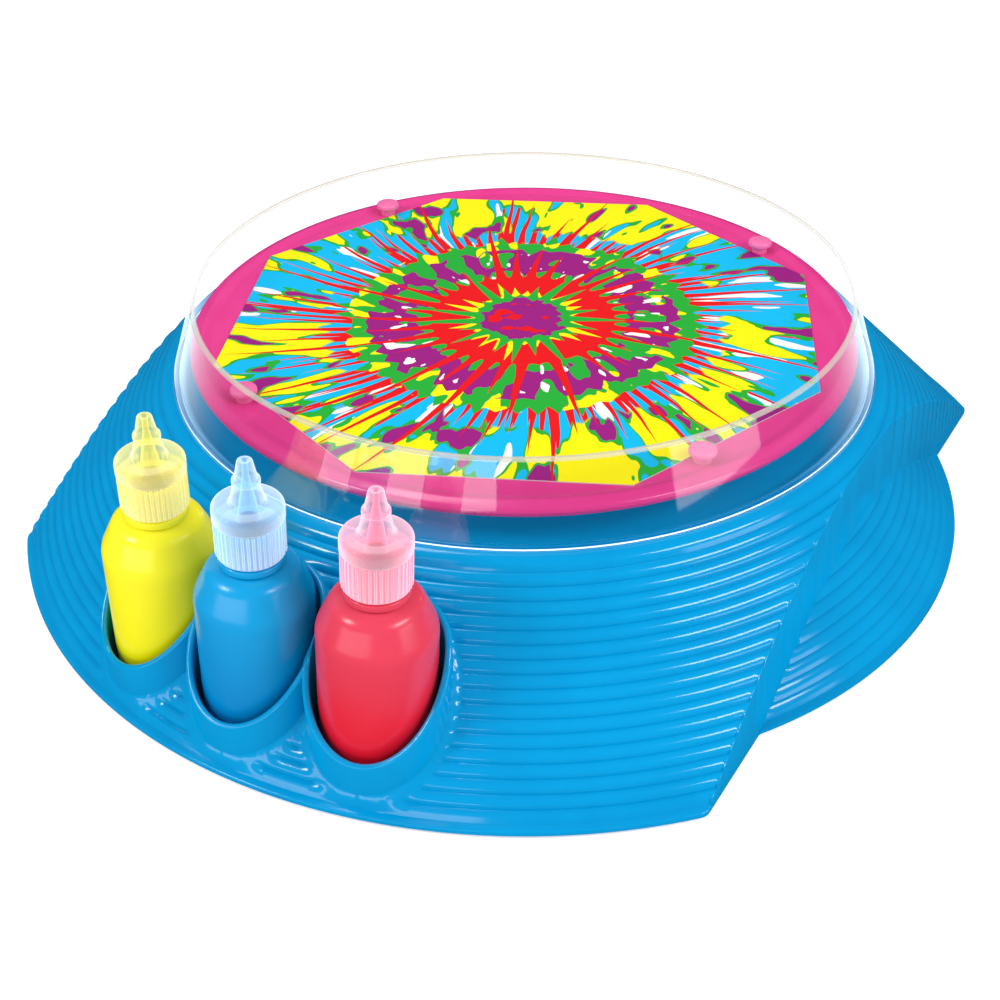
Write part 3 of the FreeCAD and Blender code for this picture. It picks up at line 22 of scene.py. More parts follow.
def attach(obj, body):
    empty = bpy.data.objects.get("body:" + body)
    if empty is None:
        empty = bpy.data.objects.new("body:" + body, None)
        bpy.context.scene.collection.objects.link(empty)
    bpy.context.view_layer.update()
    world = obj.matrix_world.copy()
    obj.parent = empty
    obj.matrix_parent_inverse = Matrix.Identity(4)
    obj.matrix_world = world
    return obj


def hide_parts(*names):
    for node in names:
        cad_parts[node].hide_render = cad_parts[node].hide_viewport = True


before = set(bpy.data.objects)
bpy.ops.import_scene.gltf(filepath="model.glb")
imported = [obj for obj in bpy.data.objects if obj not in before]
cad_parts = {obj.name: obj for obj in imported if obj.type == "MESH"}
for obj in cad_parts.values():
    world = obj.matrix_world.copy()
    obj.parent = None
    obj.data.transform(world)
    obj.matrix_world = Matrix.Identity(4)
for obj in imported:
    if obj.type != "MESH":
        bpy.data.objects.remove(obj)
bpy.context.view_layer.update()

MM = 0.001

# %% [markdown]
# ## Camera
#
# A camera is a place, a direction and a lens. The view looks down at the toy by some 35 degrees
# from the bottle side. Its axes are built from three angles, the way a tripod head turns: first
# the pan (yaw), then the tilt (pitch), then a small roll about the line of sight. The data of a
# camera, a lamp or a mesh only shows once an object in the scene holds it, so the first helper
# makes that object.

# %% Camera
CAMERA_PLACE = Vector((0.0, -0.41808, 0.28285))
PITCH, YAW, ROLL = 0.612247, -0.0190610, -0.0119782
LENS = 53.455


def new_object(name, data):
    """An object in the scene that holds a mesh, a lamp or a camera."""
    made = bpy.data.objects.new(name, data)
    bpy.context.scene.collection.objects.link(made)
    return made


forward = Vector((math.sin(YAW) * math.cos(PITCH), math.cos(YAW) * math.cos(PITCH), -math.sin(PITCH)))
level_right = Vector((math.cos(YAW), -math.sin(YAW), 0.0))
level_up = level_right.cross(forward)
right = level_right * math.cos(ROLL) + level_up * math.sin(ROLL)
up = level_up * math.cos(ROLL) - level_right * math.sin(ROLL)
axes = Matrix((right, up, -forward)).transposed().to_4x4()

camera_data = bpy.data.cameras.new("camera")
camera_data.lens = LENS
camera_data.sensor_width = 36.0
camera_data.clip_start = 0.01
camera_data.clip_end = 50.0
camera = new_object("camera", camera_data)
camera.matrix_world = Matrix.Translation(CAMERA_PLACE) @ axes
bpy.context.scene.camera = camera
print("camera looks along", [round(c, 3) for c in forward])

# %% [markdown]
# ## Writing shader maths as sums
#
# A material is a graph of small nodes. Wired one by one they take pages, so one little class
# wraps an output socket and gives it the usual signs. `wave * 0.5 + 0.5` then builds two Math
# nodes. Everything that isn't plain arithmetic goes through one method, `node`, which makes a
# node, sets its options first and then fills its inputs with numbers or links.

# %% A socket that can be added and multiplied
def fill(tree, socket, value):
    """Link a socket to a Wire, or set it to a plain value."""
    if isinstance(value, Wire):
        tree.links.new(value.socket, socket)
    else:
        socket.default_value = value


class Wire:
    """One output of a node tree, with arithmetic."""

    def __init__(self, tree, socket=None):
        self.tree, self.socket = tree, socket

    def node(self, kind, options=None, inputs=None, out=0):
        made = self.tree.nodes.new(kind)
        for name, value in (options or {}).items():
            setattr(made, name, value)
        for name, value in (inputs or {}).items():
            fill(self.tree, made.inputs[name], value)
        return Wire(self.tree, made.outputs[out])

    def maths(self, operation, *others, first=None):
        values = [self if first is None else first, *others]
        return self.node("ShaderNodeMath", {"operation": operation}, dict(enumerate(values)))

    def __add__(self, other):
        return self.maths("ADD", other)

    def __radd__(self, other):
        return self.maths("ADD", self, first=other)

    def __sub__(self, other):
        return self.maths("SUBTRACT", other)

    def __rsub__(self, other):
        return self.maths("SUBTRACT", self, first=other)

    def __mul__(self, other):
        return self.maths("MULTIPLY", other)

    def __rmul__(self, other):
        return self.maths("MULTIPLY", self, first=other)

    def __truediv__(self, other):
        return self.maths("DIVIDE", other)

    def __rtruediv__(self, other):
        return self.maths("DIVIDE", self, first=other)

    def __pow__(self, other):
        return self.maths("POWER", other)

    def __gt__(self, other):
        return self.maths("GREATER_THAN", other)

    def __lt__(self, other):
        return self.maths("LESS_THAN", other)

    def or_more(self, other):
        """The larger of the two."""
        return self.maths("MAXIMUM", other)

    def ramp(self, low, high):
        """0 at low, 1 at high and beyond, with a soft step between."""
        return self.node("ShaderNodeMapRange", {"interpolation_type": "SMOOTHSTEP"},
                         {"Value": self, "From Min": low, "From Max": high})

    def mix(self, low, high):
        """Colour low where this is 0 and high where it is 1."""
        return self.node("ShaderNodeMix", {"data_type": "RGBA"},
                         {"Factor": self, 6: low, 7: high}, out=2)


def rgb(code):
    """Linear colour from a web colour such as 00A8E8."""
    parts = [int(code[i:i + 2], 16) / 255 for i in (0, 2, 4)]
    linear = [c / 12.92 if c <= 0.04045 else ((c + 0.055) / 1.055) ** 2.4 for c in parts]
    return (*linear, 1.0)


BLACK, FULL_WHITE = rgb("000000"), rgb("FFFFFF")
print("a mid grey is", [round(c, 3) for c in rgb("808080")])

# %% [markdown]
# ## Plastic, rubber and metal
#
# No moulded surface is one flat colour. Plastic varies a little in tone where it flowed, and its
# gloss is broken by fine grain. One function makes all these finishes: a slow noise shifts the
# colour, a finer one shifts the roughness, and a very fine one feeds a Bump node. The noises read
# Object coordinates, so the pattern is fixed to the piece and moves with it.

# %% The common finish
def start_material(name):
    material = bpy.data.materials.new(name)
    material.use_nodes = True
    shader = material.node_tree.nodes["Principled BSDF"]
    place = Wire(material.node_tree).node("ShaderNodeTexCoord", out="Object")
    return material, shader, place


def noise(place, scale, detail=2.0, roughness=0.5):
    return place.node("ShaderNodeTexNoise", {"noise_dimensions": "3D"},
                      {"Vector": place, "Scale": scale, "Detail": detail, "Roughness": roughness})


def bump(height, strength, distance):
    return height.node("ShaderNodeBump", {},
                       {"Strength": strength, "Distance": distance, "Height": height})


def millimetres(place):
    """The three Object coordinates, in millimetres."""
    split = place.node("ShaderNodeSeparateXYZ", {}, {"Vector": place}).socket.node
    return [Wire(place.tree, output) * 1000.0 for output in split.outputs]


def feed(shader, **sources):
    """Link or set a shader's sockets. A name's underscores stand for spaces."""
    for name, source in sources.items():
        fill(shader.id_data, shader.inputs[name.replace("_", " ")], source)


def plain_finish(name, colour, shade, roughness, grain=0.02, metallic=0.0, grain_scale=1800.0,
                 spread=0.05, specular=0.5):
    """A moulded or plated surface between two near tones of a colour."""
    material, shader, place = start_material(name)
    tone = noise(place, 40.0, 3.0).ramp(0.35, 0.65)
    wear = noise(place, 240.0, 3.0)
    feed(shader, Base_Color=tone.mix(rgb(shade), rgb(colour)),
         Roughness=wear * spread + (roughness - spread / 2), Metallic=metallic,
         Normal=bump(noise(place, grain_scale), grain, 0.0004), Specular_IOR_Level=specular)
    return material


PLAIN_FINISHES = {
    "base_blue": ("0090C9", "008BC4", 0.13, {"grain": 0.01, "spread": 0.02, "specular": 0.45}),
    "cover_blue": ("0A93CC", "088AC0", 0.5, {"grain": 0.25, "grain_scale": 900.0}),
    "rubber_black": ("26272A", "1E1F22", 0.8, {"grain": 0.3}),
    "screw_steel": ("B9BCC2", "A4A8AE", 0.3, {"metallic": 1.0}),
    "inner_white": ("E2E4E2", "D6D8D6", 0.5, {"grain": 0.15}),
    "gear_white": ("F0EDE2", "E6E2D4", 0.4, {"grain": 0.05}),
    "cell_sleeve": ("3E444E", "343A44", 0.3, {"metallic": 0.4}),
    "contact_steel": ("C8CACE", "B4B8BC", 0.25, {"metallic": 1.0}),
    "motor_steel": ("B4B6BA", "A0A4A8", 0.35, {"metallic": 1.0}),
    "switch_black": ("2A2B2E", "202124", 0.45, {"grain": 0.2}),
    "bush_brass": ("D2B06A", "BE9C58", 0.3, {"metallic": 1.0}),
    "plate_pink": ("DE3E8C", "DA3886", 0.2, {"grain": 0.01, "spread": 0.04}),
    # The pegs' paler pink is a painted highlight on the same plastic as the plate.
    "peg_pink_painted_highlight": ("EA70A8", "E66AA2", 0.25, {"grain": 0.01}),
    "lead_red": ("C81E20", "B8181A", 0.45, {}),
    "lead_black": ("26272A", "1C1D20", 0.45, {}),
    "paint_red": ("E0142C", "D40F26", 0.3, {}),
    "paint_blue": ("0084CC", "0078C0", 0.3, {}),
    "paint_yellow": ("EEE000", "E6D800", 0.3, {}),
}
finish = {name: plain_finish(name, colour, shade, roughness, **more)
          for name, (colour, shade, roughness, more) in PLAIN_FINISHES.items()}
print(len(finish), "plain finishes")

# %% [markdown]
# Under the turntable hardly any light falls on the deck from outside, so it would render dark. A little
# glow inside the ring's radius, from the deck's level up to the boss in the middle, is painted light that
# keeps the deck a clear mid blue.

# %% Painted light on the deck
PAINTED_DECK_LIGHT, PAINTED_DECK_LIGHT_STRENGTH = rgb("00A6E6"), 0.27


def paint_light_under_plate(material):
    shader = material.node_tree.nodes["Principled BSDF"]
    place = Wire(material.node_tree).node("ShaderNodeTexCoord", out="Object")
    x, y, z = millimetres(place)
    # Painted light: an emission that lifts the shaded deck under the plate to mid blue.
    inside = ((x * x + y * y) ** 0.5).ramp(108.0, 104.0)
    on_deck = z.ramp(45.0, 46.0) * z.ramp(52.0, 50.0)
    feed(shader, Emission_Color=(inside * on_deck).mix(BLACK, PAINTED_DECK_LIGHT),
         Emission_Strength=PAINTED_DECK_LIGHT_STRENGTH)


paint_light_under_plate(finish["base_blue"])
print("the deck glows with a strength of", PAINTED_DECK_LIGHT_STRENGTH)

# %% [markdown]
# ## Clear plastic
#
# The guard and the caps are clear styrene. A real glass shader bends the light and needs many
# bounces. A thin wall hardly bends it, so a Mix Shader of a plain Transparent surface and a
# mirror does the same with less noise. The Layer Weight node looks at the angle. Square on, the
# wall is clear with a faint mirror. Where it turns away, more of the surface shows, as a real
# mirror does, but there the mirror becomes a pale diffuse surface with a glow: a painted
# reflection of the white room, which the mirrors see almost black. The guard's top is a cut edge
# of the sheet, pale all the way round. The thin line along the edge of its foot is a painted
# highlight, pale and glowing all the way round.

# %% Clear finishes
# The rim's cream is the sheet's cut edge; the foot's pale line is a painted highlight.
GUARD_RIM_AND_FOOT_HIGHLIGHT = {"rim_level": 73.0, "rim_colour": "C6C2B4", "rim_share": 0.6,
               "foot_levels": (50.2, 50.7), "foot_radius": 109.6, "foot_highlight_share": 0.9}


def clear_finish(name, tint, painted_sheen_colour, low, high, power, roughness, turns_to_painted_sheen, glow, edges=None):
    """A thin clear wall: its surface shows by the share low square on and high edge on."""
    material, shader, place = start_material(name)
    away = place.node("ShaderNodeLayerWeight", {}, {"Blend": 0.5}, out="Facing")
    # Painted reflection: past this angle the surface turns pale and glows, for the white room that the
    # mirrors see almost black.
    painted_sheen = away.ramp(*turns_to_painted_sheen)
    share = away ** power * (high - low) + low + noise(place, 25.0) * 0.01
    pale, lit, colour = painted_sheen, painted_sheen, rgb(painted_sheen_colour)
    if edges:
        x, y, z = millimetres(place)
        foot_low, foot_high = edges["foot_levels"]
        # Painted highlight: a pale, glowing line round the edge of the guard's foot.
        foot = (z > foot_low) * (z < foot_high) * (x * x + y * y > edges["foot_radius"] ** 2)
        rim = z.ramp(edges["rim_level"] - 0.2, edges["rim_level"] + 0.2)
        lit = (painted_sheen * (1 - rim)).or_more(foot)
        pale = painted_sheen.or_more(rim).or_more(foot)
        colour = rim.mix(rgb(painted_sheen_colour), rgb(edges["rim_colour"]))
        share = share.or_more(rim * edges["rim_share"]).or_more(foot * edges["foot_highlight_share"])
    feed(shader, Metallic=1.0 - pale, Roughness=noise(place, 90.0, 3.0) * 0.04 + roughness,
         Base_Color=pale.mix(FULL_WHITE, colour), Emission_Color=lit.mix(BLACK, rgb(painted_sheen_colour)),
         Emission_Strength=glow)
    see_through = place.node("ShaderNodeBsdfTransparent", {}, {"Color": rgb(tint)})
    surface = Wire(place.tree, shader.outputs[0])
    mixed = place.node("ShaderNodeMixShader", {}, {0: share, 1: see_through, 2: surface})
    fill(place.tree, place.tree.nodes["Material Output"].inputs["Surface"], mixed)
    return material


# On the caps the painted sheen, pale and glowing, covers every angle.
CAP_WALL = {"high": 0.95, "power": 1.6, "roughness": 0.1, "turns_to_painted_sheen": (-1.0, 0.0)}
CAP_TINTS = {"red": ("FCC2D6", "FFE8F4"), "blue": ("BCE6F8", "EEFAFF"), "yellow": ("F6F2A4", "FAF8D0")}

finish["guard_clear"] = clear_finish(
    "guard_clear", "FEFFFF", "DDF0FA", low=0.06, high=0.85, power=6.4, roughness=0.03,
    turns_to_painted_sheen=(0.45, 0.92), glow=1.0, edges=GUARD_RIM_AND_FOOT_HIGHLIGHT)
finish["cap_clear"] = clear_finish("cap_clear", "F2F6FA", "EEF2F4", low=0.15, glow=0.2, **CAP_WALL)
for name, (tint, painted_sheen_colour) in CAP_TINTS.items():
    finish[f"cap_{name}"] = clear_finish(f"cap_{name}", tint, painted_sheen_colour, low=0.14, glow=0.35, **CAP_WALL)
print("clear:", [n for n in finish if n.startswith("cap") or "clear" in n])

# %% [markdown]
# ## Bottles of paint
#
# The bottles are soft, milky plastic filled with paint. The paint's colour shows through, deeper
# low down where the bottle is full and paler at the shoulder, where less paint lies behind the
# wall. The paler shoulder is also painted light, for the light that the wall catches there. A
# gradient along the bottle's height gives that, with a slow noise so that it isn't a straight line.

# %% Bottle finishes
def bottle_finish(name, deep, pale):
    material, shader, place = start_material(name)
    z = millimetres(place)[2]
    # Paler upwards: partly less paint behind the wall, partly painted light on the shoulder.
    rise = (z + (noise(place, 35.0) - 0.5) * 20.0).ramp(12.0, 62.0)
    feed(shader, Base_Color=rise.mix(rgb(deep), rgb(pale)),
         Roughness=noise(place, 150.0) * 0.08 + 0.2, Specular_IOR_Level=0.45,
         Normal=bump(noise(place, 900.0), 0.02, 0.0004))
    return material


BOTTLE_COLOURS = {"red": ("DC1028", "D43E56"), "blue": ("0080C0", "0096D0"),
                  "yellow": ("EEE600", "F0E626")}
for name, (deep, pale) in BOTTLE_COLOURS.items():
    finish[f"bottle_{name}"] = bottle_finish(f"bottle_{name}", deep, pale)
print("bottles:", [n for n in finish if n.startswith("bottle")])

# %% [markdown]
# ## Spin painting
#
# Paint that drops on a spinning sheet runs outwards. It leaves rings with ragged edges, spikes
# that point away from the middle, and stretched drops. All of these are functions of the
# distance from the middle and the angle round it, so the sheet is painted by sums: a spike is a
# triangle wave of the angle with a random height, a drop is a noise that is stretched along
# the radius, and each layer of paint covers the ones before it. Spikes and drops take a seed, so
# that the layers don't all repeat one pattern.

# %% The painted sheet
CYAN, YELLOW, GREEN = rgb("00AEE0"), rgb("EEE000"), rgb("22A434")
RED, PURPLE, WHITE = rgb("DA0C14"), rgb("921878"), rgb("EAEAE6")
SHEET_FACE = 59.5


def paint_sheet():
    material, shader, place = start_material("paper_card")
    x, y, z = millimetres(place)
    far = (x * x + y * y) ** 0.5
    wander = (noise(place, 30.0) - 0.5) * 0.03
    turn = y.maths("ARCTAN2", x) / (2 * math.pi) + 0.5
    swirl = turn + far * 0.0003 + wander * 0.25

    def spikes(count, seed, sharp):
        """0 to 1: spikes round the circle, each with a height of its own."""
        t = swirl * float(count)
        cell = t.maths("FLOOR").maths("MODULO", float(count))
        height = cell.node("ShaderNodeTexWhiteNoise", {"noise_dimensions": "1D"}, {"W": cell + seed})
        return (1.0 - (t.maths("FRACT") * 2.0 - 1.0).maths("ABSOLUTE")) ** sharp * height

    def star(count, seed, sharp, reach, radius):
        """Inside a disc with spikes that reach beyond its radius."""
        return far < spikes(count, seed, sharp) * reach + radius

    def drops(seed, across, along, low):
        """Above 0 inside stretched drops of paint."""
        a = swirl * (2 * math.pi)
        at = x.node("ShaderNodeCombineXYZ", {}, {0: a.maths("COSINE") * across,
                                                 1: a.maths("SINE") * across, 2: far * along + seed})
        return noise(at, 1.0, 1.5, 0.45) - low

    def band(inner, outer, ragged):
        """Inside a ring whose edges move in by a ragged amount."""
        edge = far + ragged
        return (edge > inner) * (edge < outer)

    sheet = (drops(3.0, 14.0, 0.03, 0.62) > 0.0).mix(CYAN, WHITE)
    burst = spikes(61, 5.0, 1.0)
    cluster = (noise(place, 16.0) - 0.5) * 0.9
    yellow = drops(11.0, 10.0, 0.035, 0.53) + burst * 0.02 + cluster
    violet = drops(23.0, 9.0, 0.05, 0.61)
    outer = (far + burst * 7.0).ramp(64.0, 66.0)
    core = far + (noise(place, 260.0) - 0.5) * 9.0
    yellow_band = band(44.0, 57.0, spikes(53, 17.0, 1.0) * 4.0)
    purple_band = band(34.0, 50.0, spikes(47, 27.0, 1.0) * 5.0)
    layers = [
        (star(97, 2.0, 2.5, 60.0, 52.0), RED),
        ((yellow + 0.035 > 0.0) * outer, GREEN),
        ((yellow > 0.0) * outer, YELLOW),
        ((violet + 0.03 > 0.0) * outer, GREEN),
        ((violet > 0.0) * outer, PURPLE),
        (star(67, 6.0, 4.0, 62.0, 53.0), RED),
        (star(59, 19.0, 1.2, 8.0, 54.0), GREEN),
        ((drops(37.0, 9.0, 0.08, 0.58) > 0.0) * yellow_band, YELLOW),
        ((drops(41.0, 6.0, 0.07, 0.45) > 0.0) * purple_band, PURPLE),
        ((drops(47.0, 11.0, 0.12, 0.65) > 0.0) * band(26.0, 46.0, 0.0), WHITE),
        (star(37, 8.0, 2.8, 44.0, 29.0), RED),
        (star(29, 31.0, 1.6, 13.0, 16.0), YELLOW),
        (star(23, 43.0, 2.0, 24.0, 15.0), GREEN),
        (core < 13.0, PURPLE),
        ((core < 10.5) * (noise(place, 120.0) > 0.52), RED),
        (z < SHEET_FACE, WHITE),
    ]
    for cover, paint in layers:
        sheet = cover.mix(sheet, paint)
    feed(shader, Base_Color=sheet, Roughness=noise(place, 300.0) * 0.1 + 0.5,
         Normal=bump(noise(place, 700.0), 0.03, 0.0003), Specular_IOR_Level=0.1)
    return material, len(layers)


finish["paper_card"], coats = paint_sheet()
print("the sheet has", coats, "coats of paint")

# %% [markdown]
# ## Every piece of the model gets its finish
#
# The inner pieces, such as the motor and the gears, keep the model's own shape. They only need a
# material, and their names say which.

# %% Finishes by piece
SLOT_OF = {
    "base_shell": "base_blue", "bottle_cups": "base_blue", "bottom_cover": "cover_blue",
    "battery_door": "cover_blue", "cover_screws": "screw_steel", "door_screw": "screw_steel",
    "mount_screws": "screw_steel", "motor_screws": "screw_steel", "switch_screws": "screw_steel",
    "plate_screw": "screw_steel", "rubber_feet": "rubber_black", "battery_box": "inner_white",
    "motor_mount": "inner_white", "battery_cells": "cell_sleeve",
    "battery_contacts": "contact_steel", "contact_springs": "contact_steel",
    "switch_body": "switch_black", "switch_knob": "switch_black", "motor_can": "motor_steel",
    "motor_end_cap": "inner_white", "motor_shaft": "motor_steel", "motor_pinion": "gear_white",
    "spindle_gear": "gear_white", "spindle": "motor_steel", "spindle_clip": "contact_steel",
    "upper_bush": "bush_brass", "lower_bush": "bush_brass", "plate_hub": "inner_white",
    "turntable_plate": "plate_pink", "paper_pegs": "plate_pink", "paper_sheet": "paper_card",
    "splash_guard": "guard_clear", "lead_battery_switch": "lead_red",
    "lead_switch_motor": "lead_red", "lead_motor_battery": "lead_black",
}
for colour in BOTTLE_COLOURS:
    SLOT_OF.update({f"bottle_{colour}": f"bottle_{colour}", f"paint_{colour}": f"paint_{colour}",
                    f"cap_{colour}": "cap_clear"})
for name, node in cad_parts.items():
    node.data.materials.clear()
    node.data.materials.append(finish[SLOT_OF[name]])
print("nodes without a finish:", sorted(set(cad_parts) - set(SLOT_OF)))

# %% [markdown]
# ## A profile with rounded corners
#
# Most pieces of this toy are turned shapes. Their section is a list of corners (radius, level,
# rounding), and a small function replaces each sharp corner by a short arc. Rounded edges matter
# more than anything else here: a moulded edge catches a thin line of light, a sharp one doesn't.

# %% Rounded profiles
def rounded(corners, steps=4, closed=True):
    """Corners (r, z, rounding) to points (r, z); the arcs are tangent to both sides."""
    points = []
    count = len(corners)
    for i, (r, z, rounding) in enumerate(corners):
        here = Vector((r, z))
        if rounding <= 0 or (not closed and i in (0, count - 1)):
            points.append((r, z))
            continue
        before = Vector(corners[i - 1][:2]) - here
        after = Vector(corners[(i + 1) % count][:2]) - here
        room = min(before.length, after.length) * 0.49
        half = before.angle(after) / 2
        reach = min(rounding / math.tan(half), room)
        size = reach * math.tan(half)
        bisector = (before.normalized() + after.normalized()).normalized()
        middle = here + bisector * (size / math.sin(half))
        start, end = here + before.normalized() * reach, here + after.normalized() * reach
        a0 = math.atan2(start.y - middle.y, start.x - middle.x)
        turn = math.atan2(end.y - middle.y, end.x - middle.x) - a0
        turn = (turn + math.pi) % (2 * math.pi) - math.pi
        for k in range(steps + 1):
            a = a0 + turn * k / steps
            points.append((middle.x + size * math.cos(a), middle.y + size * math.sin(a)))
    return points


print("a rounded square has", len(rounded([(0, 0, 1), (9, 0, 1), (9, 9, 1), (0, 9, 1)])), "points")

# %% [markdown]
# A profile is spun round Z into rings of points, and neighbouring rings are joined by quads. A
# Screw or Spin would do the same, but rings that are worked out in the script can also change
# their shape on the way round, and the base and the cups need that. Where the profile touches the
# axis, its points coincide and are merged.

# %% Turned pieces
SHARP_FROM = math.radians(35.0)


def tidy(mesh):
    """Join coincident points, turn the faces outwards and keep only the real edges sharp."""
    work = bmesh.new()
    work.from_mesh(mesh)
    bmesh.ops.remove_doubles(work, verts=work.verts, dist=2e-6)
    bmesh.ops.dissolve_degenerate(work, edges=work.edges, dist=1e-7)
    bmesh.ops.recalc_face_normals(work, faces=work.faces)
    work.to_mesh(mesh)
    work.free()
    mesh.polygons.foreach_set("use_smooth", [True] * len(mesh.polygons))
    mesh.set_sharp_from_angle(angle=SHARP_FROM)
    mesh.update()


def grid_mesh(name, rings):
    """Closed solid from rings of points (count of rings, points of a ring, 3), in millimetres."""
    count, size, _ = rings.shape
    index = np.arange(count * size).reshape(count, size)
    along = np.roll(index, -1, 0)
    quads = np.stack([index, np.roll(index, -1, 1), np.roll(along, -1, 1), along], -1).reshape(-1, 4)
    mesh = bpy.data.meshes.new(name)
    mesh.from_pydata((rings.reshape(-1, 3) * MM).tolist(), [], quads.tolist())
    tidy(mesh)
    return mesh


def turned_mesh(name, points, segments=96):
    """Solid of revolution about Z from closed profile points (r, z)."""
    angles = np.arange(segments) * 2 * math.pi / segments
    profile = np.array(points)
    rings = np.stack([np.outer(np.cos(angles), profile[:, 0]), np.outer(np.sin(angles), profile[:, 0]),
                      np.broadcast_to(profile[:, 1], (segments, len(points)))], -1)
    return grid_mesh(name, rings)


print("edges are kept sharp from", round(math.degrees(SHARP_FROM)), "degrees")


# %% Placing a finished piece
def place_piece(name, mesh, body, slot, stands_for, matrix=None, look=None):
    """Put a finished mesh in the scene: its finish, its body and the nodes it stands for."""
    if matrix is not None:
        mesh.transform(matrix)
    piece = new_object(name, mesh)
    mesh.materials.clear()
    mesh.materials.append(finish[look or slot])
    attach(piece, body)
    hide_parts(*stands_for)
    lo = [min(v.co[i] for v in mesh.vertices) * 1000 for i in range(3)]
    hi = [max(v.co[i] for v in mesh.vertices) * 1000 for i in range(3)]
    print(f"{name}: {len(mesh.polygons)} faces,", [round(c, 1) for c in lo + hi])


# %% [markdown]
# ## Solids cut from solids
#
# Some shapes are easiest as a sum or a difference of two closed solids: a hole for the switch, a
# well for a cup. The Manifold solver is quick and exact on closed meshes, and the modifier is
# applied at once, so what stays is a plain mesh.

# %% Boolean helper
def plain_mesh(thing):
    """The mesh of an object with its modifiers applied."""
    bpy.context.view_layer.update()
    ready = thing.evaluated_get(bpy.context.evaluated_depsgraph_get())
    return bpy.data.meshes.new_from_object(ready)


def combined(mesh, others, operation):
    subject = new_object("subject", mesh)
    tools = [new_object("tool", other) for other in others]
    for tool in tools:
        step = subject.modifiers.new("step", "BOOLEAN")
        step.operation, step.solver, step.object = operation, "MANIFOLD", tool
    result = plain_mesh(subject)
    for thing in [subject] + tools:
        bpy.data.objects.remove(thing)
    tidy(result)
    print(operation.lower(), "left", len(result.polygons), "faces")
    return result


def box_mesh(low, high, matrix=None):
    corners = [(x, y, z) for x in (low[0], high[0]) for y in (low[1], high[1]) for z in (low[2], high[2])]
    faces = [(0, 1, 3, 2), (4, 6, 7, 5), (0, 4, 5, 1), (2, 3, 7, 6), (0, 2, 6, 4), (1, 5, 7, 3)]
    mesh = bpy.data.meshes.new("box")
    mesh.from_pydata([(x * MM, y * MM, z * MM) for x, y, z in corners], [], faces)
    if matrix is not None:
        mesh.transform(matrix)
    return mesh


# %% [markdown]
# ## The ridged base
#
# The base is one big moulding. From above it is a circle cut by two straight walls: between the
# walls the slope reaches the rim, and outside each wall lies a lower ledge with its own slope.
# All round, fine ridges follow the slope like the tiers of a tiny amphitheatre.
#
# It is built as a fan of sections. For each azimuth the script works out one closed outline, from
# the bore over the deck, the ring, the ridges and the rim, and back along the inner skin. A wall
# is where an outline is cut short and drops. Neighbouring outlines are then joined by quads. The
# fan is denser where the walls run obliquely through it.

# %% Sizes of the base, in millimetres
RIM, RIM_LOW = 163.0, 1.0
SLOPE_FOOT, SLOPE_HEAD = (161.0, 2.8), (115.0, 47.0)
SLOPE = (SLOPE_HEAD[1] - SLOPE_FOOT[1]) / (SLOPE_FOOT[0] - SLOPE_HEAD[0])
RIDGES, LEDGE_RIDGES = 17, 11
RIDGE_PITCH = (SLOPE_FOOT[0] - SLOPE_HEAD[0]) / RIDGES
CREST = 0.8 / math.hypot(1.0, SLOPE)
WALL_FOOT, WALL_LEAN, WALL_INSIDE, TIP = 118.4, 0.06, 113.0, 4.0
LEDGE_BACK, LEDGE_AZIMUTH, LEDGE_SKIN_TOP = 21.3, -30.0, 29.0
CUP_AZIMUTHS = {"red": -105.28, "blue": -119.72, "yellow": -134.16}
CUP_CIRCLE, CUP_OUT, CUP_IN = 140.47, 19.3, 17.4
EDGE, SKIN = 0.5, 2.4
BORE, BOSS_EDGE, BOSS_FOOT, BOSS_TOP, BUSH_SEAT = 5.05, 30.0, 34.0, 51.5, 43.0
DECK, DECK_EDGE, RING_LEVEL, LIP_LEVEL = 46.5, 105.6, 50.0, 50.3
GROOVE_IN, GROOVE_OUT, GROOVE_FLOOR = 108.1, 110.3, 49.0
SKIN_TOP, SKIN_TOP_EDGE = 46.6, 109.0
print("slope", round(SLOPE, 4), "ridge pitch", round(RIDGE_PITCH, 3))

# %% [markdown]
# Seen along the slope, a ridge is a low round bump on a straight line. It could be a texture, but
# a bump map has no edge to show where a wall cuts it, so the ridges are part of the outline.

# %% The ridges' height over the slope
def soft_step(x, low, high):
    t = np.clip((x - low) / (high - low), 0, 1)
    return t * t * (3 - 2 * t)


def groove_level(s):
    """Level of the slope's grooves, and of the plain band beyond its foot."""
    slope = SLOPE_HEAD[1] + (SLOPE_HEAD[0] - s) * SLOPE
    return np.where(s < SLOPE_FOOT[0], slope, SLOPE_FOOT[1] - (s - SLOPE_FOOT[0]) * 0.2)


def ridge_height(s):
    """0 in a groove, 1 on the crest of a ridge, for a radius on the slope."""
    t = ((SLOPE_FOOT[0] - s) / RIDGE_PITCH) % 1.0
    return 1 - np.abs(2 * t - 1) ** 2.2


def foot_fade(s):
    """1 on the slope, falling to 0 at its foot."""
    return np.clip((SLOPE_FOOT[0] - s) / 1.3, 0, 1)


def cup_distance(x, y):
    centres = [(CUP_CIRCLE * math.cos(math.radians(a)), CUP_CIRCLE * math.sin(math.radians(a)))
               for a in CUP_AZIMUTHS.values()]
    return np.min([np.hypot(x - cx, y - cy) for cx, cy in centres], 0) - CUP_OUT


one_ridge = SLOPE_FOOT[0] - np.linspace(0, RIDGE_PITCH, 5)
print("a ridge rises like", [round(float(h), 2) for h in ridge_height(one_ridge)])

# %% [markdown]
# The ridges run right up to the walls' top edge, so the edge is scalloped. Only round the cups
# the grooves run out: there the height is blended up to the crest, and against a cup it rises in
# a small fillet, as a moulding does.

# %% The slope's surface
CUP_FILLET, FILLET_WIDTH = 1.4, 1.6


